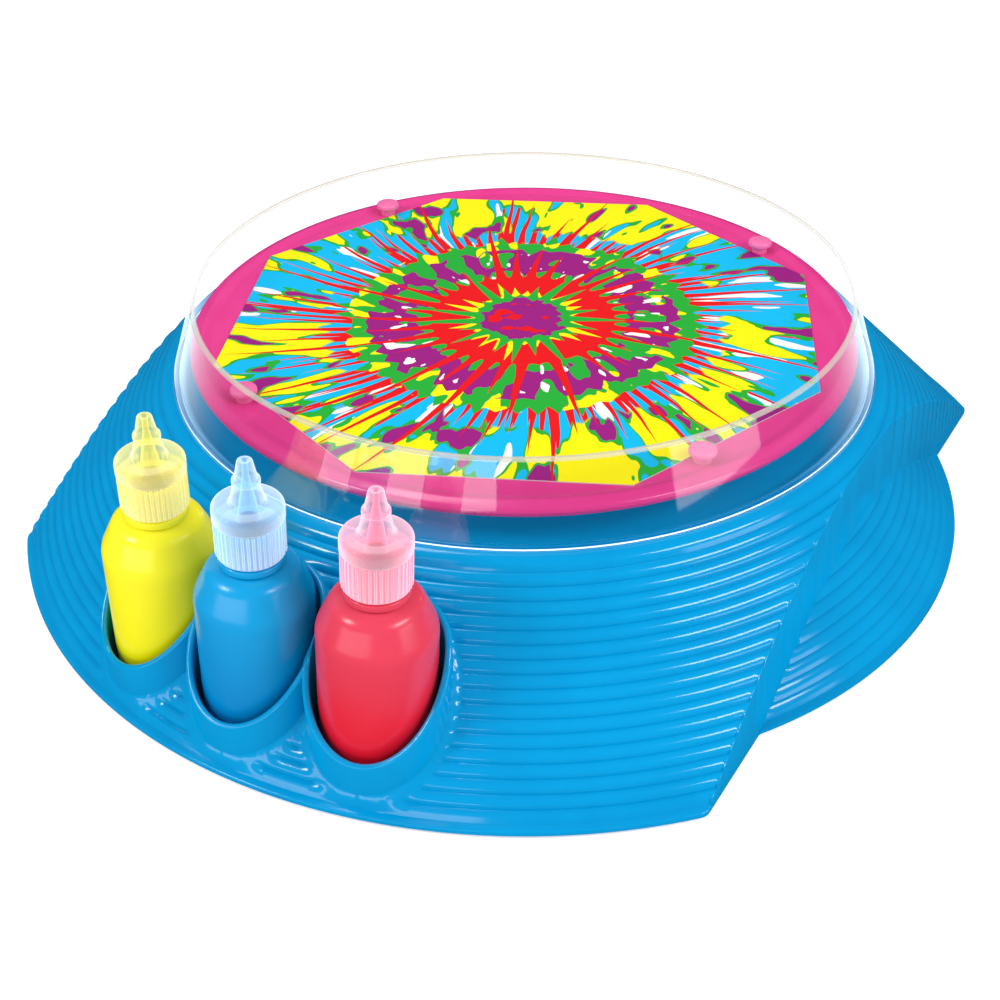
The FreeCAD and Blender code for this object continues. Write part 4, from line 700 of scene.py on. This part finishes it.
def slope_surface(s, a):
    """(r, z) of the ridged slope over plan radii s, at an azimuth in radians."""
    cups = cup_distance(s * math.cos(a), s * math.sin(a))
    lift = CREST * (1 - soft_step(cups, 0.8, 2.4) * (1 - ridge_height(s))) * foot_fade(s)
    fillet = CUP_FILLET * np.clip(1 - cups / FILLET_WIDTH, 0, 1) ** 2
    return s + SLOPE * lift, groove_level(s) + lift + fillet


def ledge_level(r):
    s = r + LEDGE_BACK
    ridged = groove_level(s) + CREST * ridge_height(s) * foot_fade(s)
    return np.where(r <= RIM - LEDGE_BACK, ridged, RIM_LOW)


print("levels at the rim:", [round(float(groove_level(r)), 2) for r in (160.0, 161.0, 163.0)])

# %% [markdown]
# A wall leans in a little, so that the moulding leaves its mould. Its face is a plane, and the
# slope's section is a straight line, so where they meet is a short sum for every azimuth. The
# tips, where a wall runs out into the rim, are rounded in plan.

# %% Where the walls stand
SLOPE_START = SLOPE_HEAD[1] + SLOPE_HEAD[0] * SLOPE
LEDGE_START = SLOPE_START - LEDGE_BACK * SLOPE


def rim_reach(turn):
    """Plan radius of the rim at an angle from the ledges' direction, with rounded tips."""
    c, s = abs(math.cos(turn)), abs(math.sin(turn))
    middle = (WALL_FOOT - TIP, math.sqrt((RIM - TIP) ** 2 - (WALL_FOOT - TIP) ** 2))
    if math.atan2(middle[1], WALL_FOOT) < math.atan2(s, c) < math.atan2(middle[1], middle[0]):
        along = middle[0] * c + middle[1] * s
        across = middle[0] * s - middle[1] * c
        return along + math.sqrt(TIP ** 2 - across ** 2)
    return min(WALL_FOOT / max(c, 1e-9), RIM)


def wall_radius(turn, start, fall):
    """Plan radius where a wall meets the line of level start - fall * radius, or the rim."""
    c = abs(math.cos(turn)) - WALL_LEAN * fall
    wall = (WALL_FOOT - WALL_LEAN * start) / c if c > 0.01 else RIM
    return min(wall, rim_reach(turn))


def meeting_turns(start, radii):
    """The angles at which a wall meets a slope's line at the given radii."""
    return np.arccos(np.clip((WALL_FOOT - WALL_LEAN * start) / radii + WALL_LEAN * SLOPE, -1, 1))


print("wall's top edge", round(wall_radius(0, SLOPE_START, SLOPE), 2), "mm from the middle,",
      "foot on the ledge", round(wall_radius(0, LEDGE_START, SLOPE), 2))

# %% One outline of the fan
STEPS = (0.0, 0.1, 0.3, 0.7, 0.9)
RIDGE_S = np.array([SLOPE_HEAD[0] + (i + t) * RIDGE_PITCH for i in range(RIDGES) for t in STEPS])
SLOPE_S = np.append(RIDGE_S, [SLOPE_FOOT[0], RIM])
LEDGE_R = np.array([SLOPE_FOOT[0] - (LEDGE_RIDGES - i - t) * RIDGE_PITCH - LEDGE_BACK
                    for i in range(LEDGE_RIDGES) for t in STEPS]
                   + [SLOPE_FOOT[0] - LEDGE_BACK, RIM - LEDGE_BACK])
RING = rounded([
    (BORE, BOSS_TOP, 0.3), (BOSS_EDGE, BOSS_TOP, 1.0), (BOSS_FOOT, DECK, 1.0), (DECK_EDGE, DECK, 0.8),
    (DECK_EDGE + 1.0, RING_LEVEL, 0.5), (GROOVE_IN, RING_LEVEL, 0.2), (GROOVE_IN, GROOVE_FLOOR, 0.1),
    (GROOVE_OUT, GROOVE_FLOOR, 0.1), (GROOVE_OUT, LIP_LEVEL, 0.25), (GROOVE_OUT + 0.5, LIP_LEVEL, 0)],
    2, closed=False)
LIP_ROLL = [(111.9, 50.12), (112.9, 49.72), (113.8, 49.3), (114.5, 48.4)]
SKIN_LEVELS = (RIM_LOW, 6.0, 12.0, 18.0, 24.0, LEDGE_SKIN_TOP - 0.1, LEDGE_SKIN_TOP + 0.1, 34.0, 40.0,
               SKIN_TOP)
UNDER = [(SKIN_TOP_EDGE, SKIN_TOP), (SKIN_TOP_EDGE, DECK - SKIN), (BOSS_FOOT - SKIN, DECK - SKIN),
         (BOSS_EDGE - SKIN, BOSS_TOP - SKIN), (BORE + SKIN, BOSS_TOP - SKIN), (BORE + SKIN, BUSH_SEAT),
         (BORE, BUSH_SEAT)]


def inner_reach(level, turn):
    """Radius of the inner skin at a level."""
    across = SKIN * math.hypot(1, SLOPE) / SLOPE
    main = SLOPE_HEAD[0] + (SLOPE_HEAD[1] - level) / SLOPE - across
    ledge = main - LEDGE_BACK
    main = min(main, WALL_INSIDE / max(abs(math.cos(turn)), 1e-9))
    return main if level > LEDGE_SKIN_TOP else max(main, ledge)


def outline(azimuth):
    """Closed section of the base at an azimuth in degrees: an array of (r, z)."""
    a = math.radians(azimuth)
    turn = a - math.radians(LEDGE_AZIMUTH)
    top = wall_radius(turn, SLOPE_START, SLOPE)
    edge = EDGE / max(abs(math.cos(turn)), 0.6) if top < RIM else EDGE
    near = np.linspace(top - edge - 0.6, top - edge, 13)
    last = np.interp(top - edge, slope_surface(near, a)[0], near)
    r, z = slope_surface(np.minimum(SLOPE_S, last), a)
    main = list(zip(r, z))
    main += [(r[-1] + edge * math.sin(b), z[-1] - EDGE * (1 - math.cos(b)))
             for b in (math.pi / 6, math.pi / 3, math.pi / 2)]
    wall_foot = wall_radius(turn, LEDGE_START, SLOPE)
    ground = wall_radius(turn, RIM_LOW, 0.0)
    if wall_foot < RIM - LEDGE_BACK:
        ground = RIM - LEDGE_BACK
        ledge_r = np.maximum(LEDGE_R, wall_foot)
        ledge = list(zip(ledge_r, ledge_level(ledge_r)))
    else:
        ledge = [(ground, RIM_LOW)] * len(LEDGE_R)
    skin = [(inner_reach(z, turn), z) for z in SKIN_LEVELS]
    return np.array(RING + LIP_ROLL + main + ledge + [(ground, RIM_LOW)] + skin + UNDER)


print("an outline has", len(outline(0.0)), "points")


# %% The fan of azimuths and the shell
def fan():
    """Azimuths of the outlines: one wherever a ridge ends at a wall, and even steps between."""
    crests = RIDGE_S + SLOPE * CREST * ridge_height(RIDGE_S)
    ends = meeting_turns(SLOPE_START, crests + EDGE / np.cos(meeting_turns(SLOPE_START, crests)))
    feet = meeting_turns(LEDGE_START, LEDGE_R)
    exact = np.degrees(np.concatenate([ends, feet[::3]]))
    even = np.concatenate([np.arange(0, 42, 1.2), np.arange(42, 46.5, 0.25), np.arange(47, 90.1, 1.5)])
    even = [t for t in even if np.min(np.abs(exact - t)) > (0.6 if t < 42 else 0.1)]
    quarter = np.concatenate([exact[exact < 44.0], even, [0.0]])
    turns = np.concatenate([quarter, 180 - quarter, 180 + quarter, 360 - quarter]) % 360
    round_the_cups = np.arange(-146, -93, 0.4) % 360
    azimuths = np.concatenate([(turns + LEDGE_AZIMUTH) % 360, round_the_cups])
    azimuths = np.unique(np.round(azimuths, 4))
    return azimuths[np.append(True, np.diff(azimuths) > 0.04)]


rings = []
for azimuth in fan():
    r, z = outline(azimuth).T
    a = math.radians(azimuth)
    rings.append(np.stack([r * math.cos(a), r * math.sin(a), z], -1))
shell = grid_mesh("blue_base", np.array(rings))
print(len(rings), "outlines,", len(shell.polygons), "faces")

# %% [markdown]
# The cups' wells and the switch's window go through the shell, so they are cut out of it.

# %% Wells and window
WELL = 19.2
WINDOW_HALF, WINDOW_LEVELS = 5.1, (33.3, 38.7)


def turn_about_z(azimuth):
    return Matrix.Rotation(math.radians(azimuth), 4, "Z")


def cup_cylinder(azimuth, radius, low):
    """A tall plain cylinder on a cup's axis, for cutting."""
    mesh = turned_mesh("cylinder", [(0, low), (radius, low), (radius, 70), (0, 70)], 128)
    mesh.transform(turn_about_z(azimuth) @ Matrix.Translation((CUP_CIRCLE * MM, 0, 0)))
    return mesh


wells = [cup_cylinder(azimuth, WELL, -5) for azimuth in CUP_AZIMUTHS.values()]
window = box_mesh((110, -WINDOW_HALF, WINDOW_LEVELS[0]), (120, WINDOW_HALF, WINDOW_LEVELS[1]),
                  turn_about_z(LEDGE_AZIMUTH + 180))
base_mesh = combined(shell, wells + [window], "DIFFERENCE")
place_piece("blue_base", base_mesh, "base", "base_blue", ["base_shell"])

# %% [markdown]
# ## Bottle cups
#
# Each cup is a tall tube whose rim slopes: low at the front, so that the bottle can be gripped,
# and high at the back, next to the dome. The rim is rounded over like the lip of a mug. A ring of
# points is bent up and down by one height function, and the three tubes are then added together,
# with the neighbours' bores cut out where they meet.

# %% Cups
CUP_FRONT, CUP_KNEE, CUP_BACK, KNEE_PLACE = 15.0, 39.5, 45.5, -4.0
CUP_UNDER, CUP_FLOOR = 1.2, 2.4


def rim_level(x):
    """Level of a cup's rim, x along the cup's own outward direction from its axis."""
    low = CUP_FRONT + (CUP_OUT - x) / (CUP_OUT - KNEE_PLACE) * (CUP_KNEE - CUP_FRONT)
    high = CUP_KNEE + (KNEE_PLACE - x) / (CUP_OUT + KNEE_PLACE) * (CUP_BACK - CUP_KNEE)
    gap = low - high
    return (low + high - np.sqrt(gap * gap + 4.0)) / 2 + 0.3


def cup_mesh(azimuth):
    middle, half = (CUP_OUT + CUP_IN) / 2, (CUP_OUT - CUP_IN) / 2
    lip = [(middle + half * math.cos(b), math.sin(b)) for b in np.linspace(0, math.pi, 9)]
    rings = []
    for a in np.arange(128) * 2 * math.pi / 128:
        top = float(rim_level(middle * math.cos(a))) - half
        section = [(0, CUP_UNDER), (CUP_OUT - 0.5, CUP_UNDER), (CUP_OUT, CUP_UNDER + 0.5)]
        section += [(r, top + half * rise) for r, rise in lip]
        section += [(CUP_IN, CUP_FLOOR + 1.0), (CUP_IN - 0.3, CUP_FLOOR + 0.3), (CUP_IN - 1.0, CUP_FLOOR),
                    (0, CUP_FLOOR)]
        rings.append([(CUP_CIRCLE + r * math.cos(a), r * math.sin(a), z) for r, z in section])
    mesh = grid_mesh("cup", np.array(rings))
    mesh.transform(turn_about_z(azimuth))
    return mesh


cups = []
for azimuth in CUP_AZIMUTHS.values():
    bores = [cup_cylinder(a, CUP_IN + 0.02, CUP_FLOOR + 0.02)
             for a in CUP_AZIMUTHS.values() if 1 < abs(a - azimuth) < 20]
    cups.append(combined(cup_mesh(azimuth), bores, "DIFFERENCE"))
place_piece("bottle_cups_moulded", combined(cups[0], cups[1:], "UNION"), "base", "base_blue",
            ["bottle_cups"])

# %% [markdown]
# ## Guard, turntable and pegs
#
# These are turned shapes. The guard is a thin leaning ring with a rounded top. The plate ends in
# a rolled rim, which hides its edge and keeps it stiff.

# %% Guard
GUARD_LOW, GUARD_BEND, GUARD_TOP = 49.3, 51.2, 73.9
GUARD_FOOT_IN, GUARD_FOOT_OUT, GUARD_TOP_IN, GUARD_TOP_OUT = 108.4, 110.0, 100.7, 102.3
guard = turned_mesh("guard", rounded([
    (GUARD_FOOT_IN, GUARD_LOW, 0.1), (GUARD_FOOT_OUT, GUARD_LOW, 0.2),
    (GUARD_FOOT_OUT, GUARD_BEND, 0.6), (GUARD_TOP_OUT, GUARD_TOP, 0.7),
    (GUARD_TOP_IN, GUARD_TOP, 0.7), (GUARD_FOOT_IN, GUARD_BEND, 0.6)], 5), 180)
place_piece("guard_ring", guard, "guard", "guard_clear", ["splash_guard"])

# %% Plate
PLATE_TOP, PLATE_UNDER, PEG_CIRCLE = 59.2, 57.4, 94.486
plate = turned_mesh("plate", rounded([
    (0, PLATE_TOP, 0), (97.586, PLATE_TOP, 1.5), (100.686, 60.2, 2.2), (103.9, PLATE_TOP, 2.0),
    (104.35, 57.9, 0.8), (103.6, 56.4, 1.0), (101.686, 55.8, 0.5), (99.986, 55.8, 0.3),
    (99.986, PLATE_UNDER, 0.5), (0, PLATE_UNDER, 0)], 4), 180)
print("the plate alone has", len(plate.polygons), "faces")

# %% [markdown]
# ## Repeats by Geometry Nodes
#
# Pegs, screws, feet and the ribs of a cap are one small shape repeated round a circle. A Geometry
# Nodes tree does that: it lays points on a circle, puts a copy of the item on each, turned to
# face outwards, and makes the copies real. Its inputs carry the sizes, so the same tree serves
# every repeat. The result is taken over as a plain mesh.

# %% A ring of copies
OBJECT_GEOMETRY = 4


def ring_tree():
    tree = bpy.data.node_groups.new("ring_of_copies", "GeometryNodeTree")
    tree.is_modifier = True
    for name, kind in (("Item", "Object"), ("Count", "Int"), ("Circle radius", "Float"),
                       ("First turn", "Float"), ("Finish", "Material")):
        tree.interface.new_socket(name, in_out="INPUT", socket_type=f"NodeSocket{kind}")
    tree.interface.new_socket("Copies", in_out="OUTPUT", socket_type="NodeSocketGeometry")
    source = tree.nodes.new("NodeGroupInput")
    given = {s.name: Wire(tree, s) for s in source.outputs if s.name}
    wire = Wire(tree)
    line = wire.node("GeometryNodeMeshLine", {}, {"Count": given["Count"]})
    turn = wire.node("GeometryNodeInputIndex") / given["Count"] * (2 * math.pi) + given["First turn"]
    place = wire.node("ShaderNodeCombineXYZ", {}, {0: turn.maths("COSINE") * given["Circle radius"],
                                                   1: turn.maths("SINE") * given["Circle radius"]})
    points = wire.node("GeometryNodeSetPosition", {}, {"Geometry": line, "Position": place})
    item = wire.node("GeometryNodeObjectInfo", {}, {"Object": given["Item"]}, out=OBJECT_GEOMETRY)
    spin = wire.node("ShaderNodeCombineXYZ", {}, {2: turn})
    copies = wire.node("GeometryNodeInstanceOnPoints", {}, {"Points": points, "Instance": item,
                                                            "Rotation": spin})
    real = wire.node("GeometryNodeRealizeInstances", {}, {"Geometry": copies})
    painted = wire.node("GeometryNodeSetMaterial", {}, {"Geometry": real, "Material": given["Finish"]})
    fill(tree, tree.nodes.new("NodeGroupOutput").inputs[0], painted)
    return tree


RING_TREE = ring_tree()
print("the ring of copies has", len(RING_TREE.nodes), "nodes")


def ring_mesh(item_mesh, count, radius, first, slot):
    """Plain mesh of an item (made at the origin, outwards along +X) repeated round a circle."""
    item = new_object("item", item_mesh)
    holder = new_object("holder", bpy.data.meshes.new("holder"))
    repeat = holder.modifiers.new("repeat", "NODES")
    repeat.node_group = RING_TREE
    values = {"Item": item, "Count": count, "Circle radius": radius * MM,
              "First turn": math.radians(first), "Finish": finish[slot]}
    for socket in RING_TREE.interface.items_tree:
        if socket.in_out == "INPUT":
            repeat[socket.identifier] = values[socket.name]
    mesh = plain_mesh(holder)
    bpy.data.objects.remove(holder)
    bpy.data.objects.remove(item)
    tidy(mesh)
    return mesh


def joined(meshes):
    """Several meshes as one."""
    work = bmesh.new()
    for mesh in meshes:
        work.from_mesh(mesh)
    result = bpy.data.meshes.new(meshes[0].name)
    work.to_mesh(result)
    work.free()
    tidy(result)
    return result


# %% [markdown]
# Under the plate, eight ribs run from a socket for the hub to the rim, as they do under any
# moulded disc of this size. One rib in a ring of copies is enough. The socket has six sides, so
# it is a turned shape with six segments.

# %% The plate's ribs and its socket for the hub
rib = box_mesh((16.0, -0.7, 54.8), (97.6, 0.7, 57.6))
socket = turned_mesh("socket", [(14.2, 54.2), (16.2, 54.2), (16.2, 57.6), (14.2, 57.6)], 6)
plate = joined([plate, ring_mesh(rib, 8, 0.0, 0.0, "plate_pink"), socket])
place_piece("pink_plate", plate, "turntable", "plate_pink", ["turntable_plate"])

# %% [markdown]
# Four mushroom pegs round the sheet keep it in place. They are the plate's plastic, coloured a
# paler pink as a painted highlight on their tops. The model has one slot for both, so the pegs
# keep that slot and get a look of their own.

# %% Pegs
peg = turned_mesh("peg", rounded([
    (0, PLATE_UNDER, 0), (2.0, PLATE_UNDER, 0), (2.0, PLATE_TOP, 0), (2.6, PLATE_TOP, 0.1),
    (2.6, 61.4, 0.2), (4.0, 61.7, 0.3), (4.0, 63.4, 0.9), (0, 63.4, 0)], 4), 40)
pegs = ring_mesh(peg, 4, PEG_CIRCLE, 31.0, "plate_pink")
place_piece("pegs", pegs, "turntable", "plate_pink", ["paper_pegs"], look="peg_pink_painted_highlight")

# %% [markdown]
# The feet are rubber plugs pressed into the bottom cover, and six cross-headed screws hold the
# cover. Each is modelled once and repeated, so all of them stay alike. The feet come in two
# pairs, where the base is wide and clear of the cups.

# %% Feet and screws underneath
foot = turned_mesh("foot", rounded([
    (0, 0, 0), (7.0, 0, 0.8), (7.0, 1.8, 0.2), (2.5, 1.8, 0), (2.5, 3.8, 0), (2.9, 3.8, 0.1),
    (2.5, 5.3, 0), (0, 5.3, 0)], 4), 48)
feet = joined([ring_mesh(foot, 2, 144.0, first, "rubber_black") for first in (27.0, 93.0)])
place_piece("feet", feet, "base", "rubber_black", ["rubber_feet"])

screw = turned_mesh("screw", rounded([
    (0, 0.4, 0), (2.1, 0.4, 0.3), (2.85, 0.8, 0.3), (3.0, 1.8, 0), (1.5, 1.8, 0), (1.5, 10.3, 0),
    (0.5, 11.8, 0), (0, 11.8, 0)], 3), 32)
cross = [box_mesh((-1.7, -0.35, 0.0), (1.7, 0.35, 1.1)), box_mesh((-0.35, -1.7, 0.0), (0.35, 1.7, 1.0))]
screw = combined(screw, cross, "DIFFERENCE")
place_piece("cover_screw_set", ring_mesh(screw, 6, 102.0, 0.0, "screw_steel"), "base",
            "screw_steel", ["cover_screws"])

# %% [markdown]
# ## Bottles and caps
#
# A bottle is blown, so every edge is soft: heel, shoulder and neck flow into each other. The cap
# is moulded with a ribbed skirt for grip and a conical spout. Both are turned shapes in the
# bottle's own upright frame, and one matrix leans each bottle a little and stands it in its cup.

# %% Bottles
LEANS = {"red": 3.0, "blue": 3.4, "yellow": 4.0}
STANDS_AT, HEEL, OFF_AXIS = 2.7, 13.9, -1.3


def standing(name):
    """Matrix from a bottle's own frame to its place in its cup."""
    lean = math.radians(LEANS[name])
    lift = STANDS_AT + HEEL * math.sin(lean)
    return (turn_about_z(CUP_AZIMUTHS[name])
            @ Matrix.Translation((CUP_CIRCLE * MM, OFF_AXIS * MM, lift * MM))
            @ Matrix.Rotation(-lean, 4, "X"))


BOTTLE_PROFILE = rounded([
    (0, 0.5, 0), (11.0, 0.5, 1.0), (12.2, 0, 0.8), (15.5, 0, 1.9), (15.5, 44.0, 9.0),
    (11.6, 52.6, 5.0), (7.5, 54.2, 0.8), (7.5, 65.0, 0.5), (5.5, 65.0, 0.4), (5.5, 53.6, 0.5),
    (9.8, 51.6, 3.0), (14.3, 43.6, 6.0), (14.3, 1.4, 1.2), (0, 1.4, 0)], 8)
COLLAR_PROFILE = rounded([(7.0, 54.3, 0), (8.6, 54.3, 0.5), (8.6, 56.4, 0.5), (7.0, 56.4, 0)], 4)
CAP_PROFILE = rounded([
    (8.05, 57.0, 0.2), (8.6, 57.0, 0.2), (8.6, 67.6, 0.2), (9.1, 68.0, 0.2), (9.1, 72.0, 1.4),
    (5.0, 72.0, 0.8), (4.3, 73.0, 0.5), (3.3, 78.0, 0.1), (3.6, 78.3, 0.2), (3.5, 79.2, 0.3),
    (2.9, 79.5, 0.3), (2.0, 84.1, 0.3), (1.8, 84.6, 0.3), (0.8, 84.6, 0.2), (0.8, 80.6, 0),
    (3.0, 66.9, 0.5), (7.9, 65.3, 0.3)], 4)
CAP_RIBS, CAP_SKIRT = 40, 8.6
RIB_PROFILE = rounded([(0, 57.5, 0), (0.36, 57.5, 0.15), (0.36, 67.3, 0.2), (0, 67.3, 0)], 2)
for name in CUP_AZIMUTHS:
    bottle = joined([turned_mesh("bottle", BOTTLE_PROFILE), turned_mesh("collar", COLLAR_PROFILE, 64)])
    place_piece(f"{name}_bottle", bottle, f"bottle_{name}", f"bottle_{name}", [f"bottle_{name}"],
                standing(name))
    ribs = ring_mesh(turned_mesh("rib", RIB_PROFILE, 8), CAP_RIBS, CAP_SKIRT, 0.0, "cap_clear")
    cap = joined([turned_mesh("cap", CAP_PROFILE, 64), ribs])
    place_piece(f"{name}_cap", cap, f"cap_{name}", "cap_clear", [f"cap_{name}"], standing(name),
                look=f"cap_{name}")

# %% [markdown]
# ## Stage and light
#
# The floor is a large white disc. A picture cut out on white needs a floor that is pure white to
# the camera and still takes a soft shadow, so its shader adds a little glow that only the camera
# sees. Mirrors hardly see the floor, because a glossy toy on real white card would look washed
# out. Most of the light is the even white of the room. The lamps are plain soft sheets that add
# what glossy plastic needs. Two long panels stand low at both sides and show as pale patches in
# the clear guard. Three smaller windows higher up draw the bright lines on the ridges, the cups'
# lips and the bottles' shoulders.

# %% Floor
def grey(level):
    return (level, level, level, 1.0)


floor_mesh = bpy.data.meshes.new("floor")
work = bmesh.new()
bmesh.ops.create_circle(work, cap_ends=True, radius=3.0, segments=64)
work.to_mesh(floor_mesh)
work.free()
floor = new_object("floor", floor_mesh)
floor_white, shader, place = start_material("floor_white")
seen = place.node("ShaderNodeLightPath", out="Is Camera Ray")
mirrored = place.node("ShaderNodeLightPath", out="Is Glossy Ray")
feed(shader, Base_Color=mirrored.mix(grey(0.8), grey(0.02)), Roughness=0.9, Specular_IOR_Level=0.0)
glow = place.node("ShaderNodeEmission", {}, {"Color": grey(1.0), "Strength": seen * 0.45})
surface = Wire(place.tree, shader.outputs[0])
both = place.node("ShaderNodeAddShader", {}, {0: surface, 1: glow})
fill(place.tree, place.tree.nodes["Material Output"].inputs["Surface"], both)
floor_mesh.materials.append(floor_white)
print("the floor measures", [round(side, 1) for side in floor.dimensions], "metres")

# %% [markdown]
# The room is white all round. To the camera it is plain white, so that the toy stands on nothing.
# Its light is a little weaker, so that pale surfaces don't burn out, and mirrors see it almost
# black, so that only the lamps draw lines on the gloss.

# %% World
ROOM_LIGHT, ROOM_IN_MIRRORS = 0.83, 0.02
world = bpy.data.worlds.new("studio")
bpy.context.scene.world = world
world.use_nodes = True
background = world.node_tree.nodes["Background"]
seen = Wire(world.node_tree).node("ShaderNodeLightPath", out="Is Camera Ray")
mirrored = seen.node("ShaderNodeLightPath", out="Is Glossy Ray")
unseen = mirrored * ROOM_IN_MIRRORS + (1 - mirrored) * ROOM_LIGHT
feed(background, Color=grey(1.0), Strength=seen + (1 - seen) * unseen)
print("the room's light is", ROOM_LIGHT, "and", ROOM_IN_MIRRORS, "in mirrors")

# %% [markdown]
# Each lamp is a rectangle that looks at the toy. A lamp's reflection on the gloss has the lamp's
# own shape, so long low panels give long patches and small high windows give short bright lines.

# %% Lamps
AIM = Vector((0, 0, 0.03))


def soft_lamp(name, at, size, power, roll=0.0):
    data = bpy.data.lights.new(name, "AREA")
    data.shape, data.size, data.size_y = "RECTANGLE", size[0], size[1]
    data.energy = power
    towards = (AIM - Vector(at)).to_track_quat("-Z", "Y").to_matrix().to_4x4()
    lamp = new_object(name, data)
    lamp.matrix_world = (Matrix.Translation(at) @ towards
                         @ Matrix.Rotation(math.radians(roll), 4, "Z"))


soft_lamp("top_window", (-0.25, 0.3, 1.05), (0.3, 0.2), 1.3)
soft_lamp("left_panel", (-0.65, -0.89, 0.155), (1.2, 0.16), 1.8, roll=6.0)
soft_lamp("right_panel", (0.95, -0.59, 0.18), (0.6, 0.3), 1.5)
soft_lamp("left_window", (-0.8, -0.42, 0.78), (0.22, 0.32), 4.0)
soft_lamp("right_window", (0.78, -0.49, 0.8), (0.6, 0.22), 5.4)
bpy.context.scene.view_settings.view_transform = "Standard"
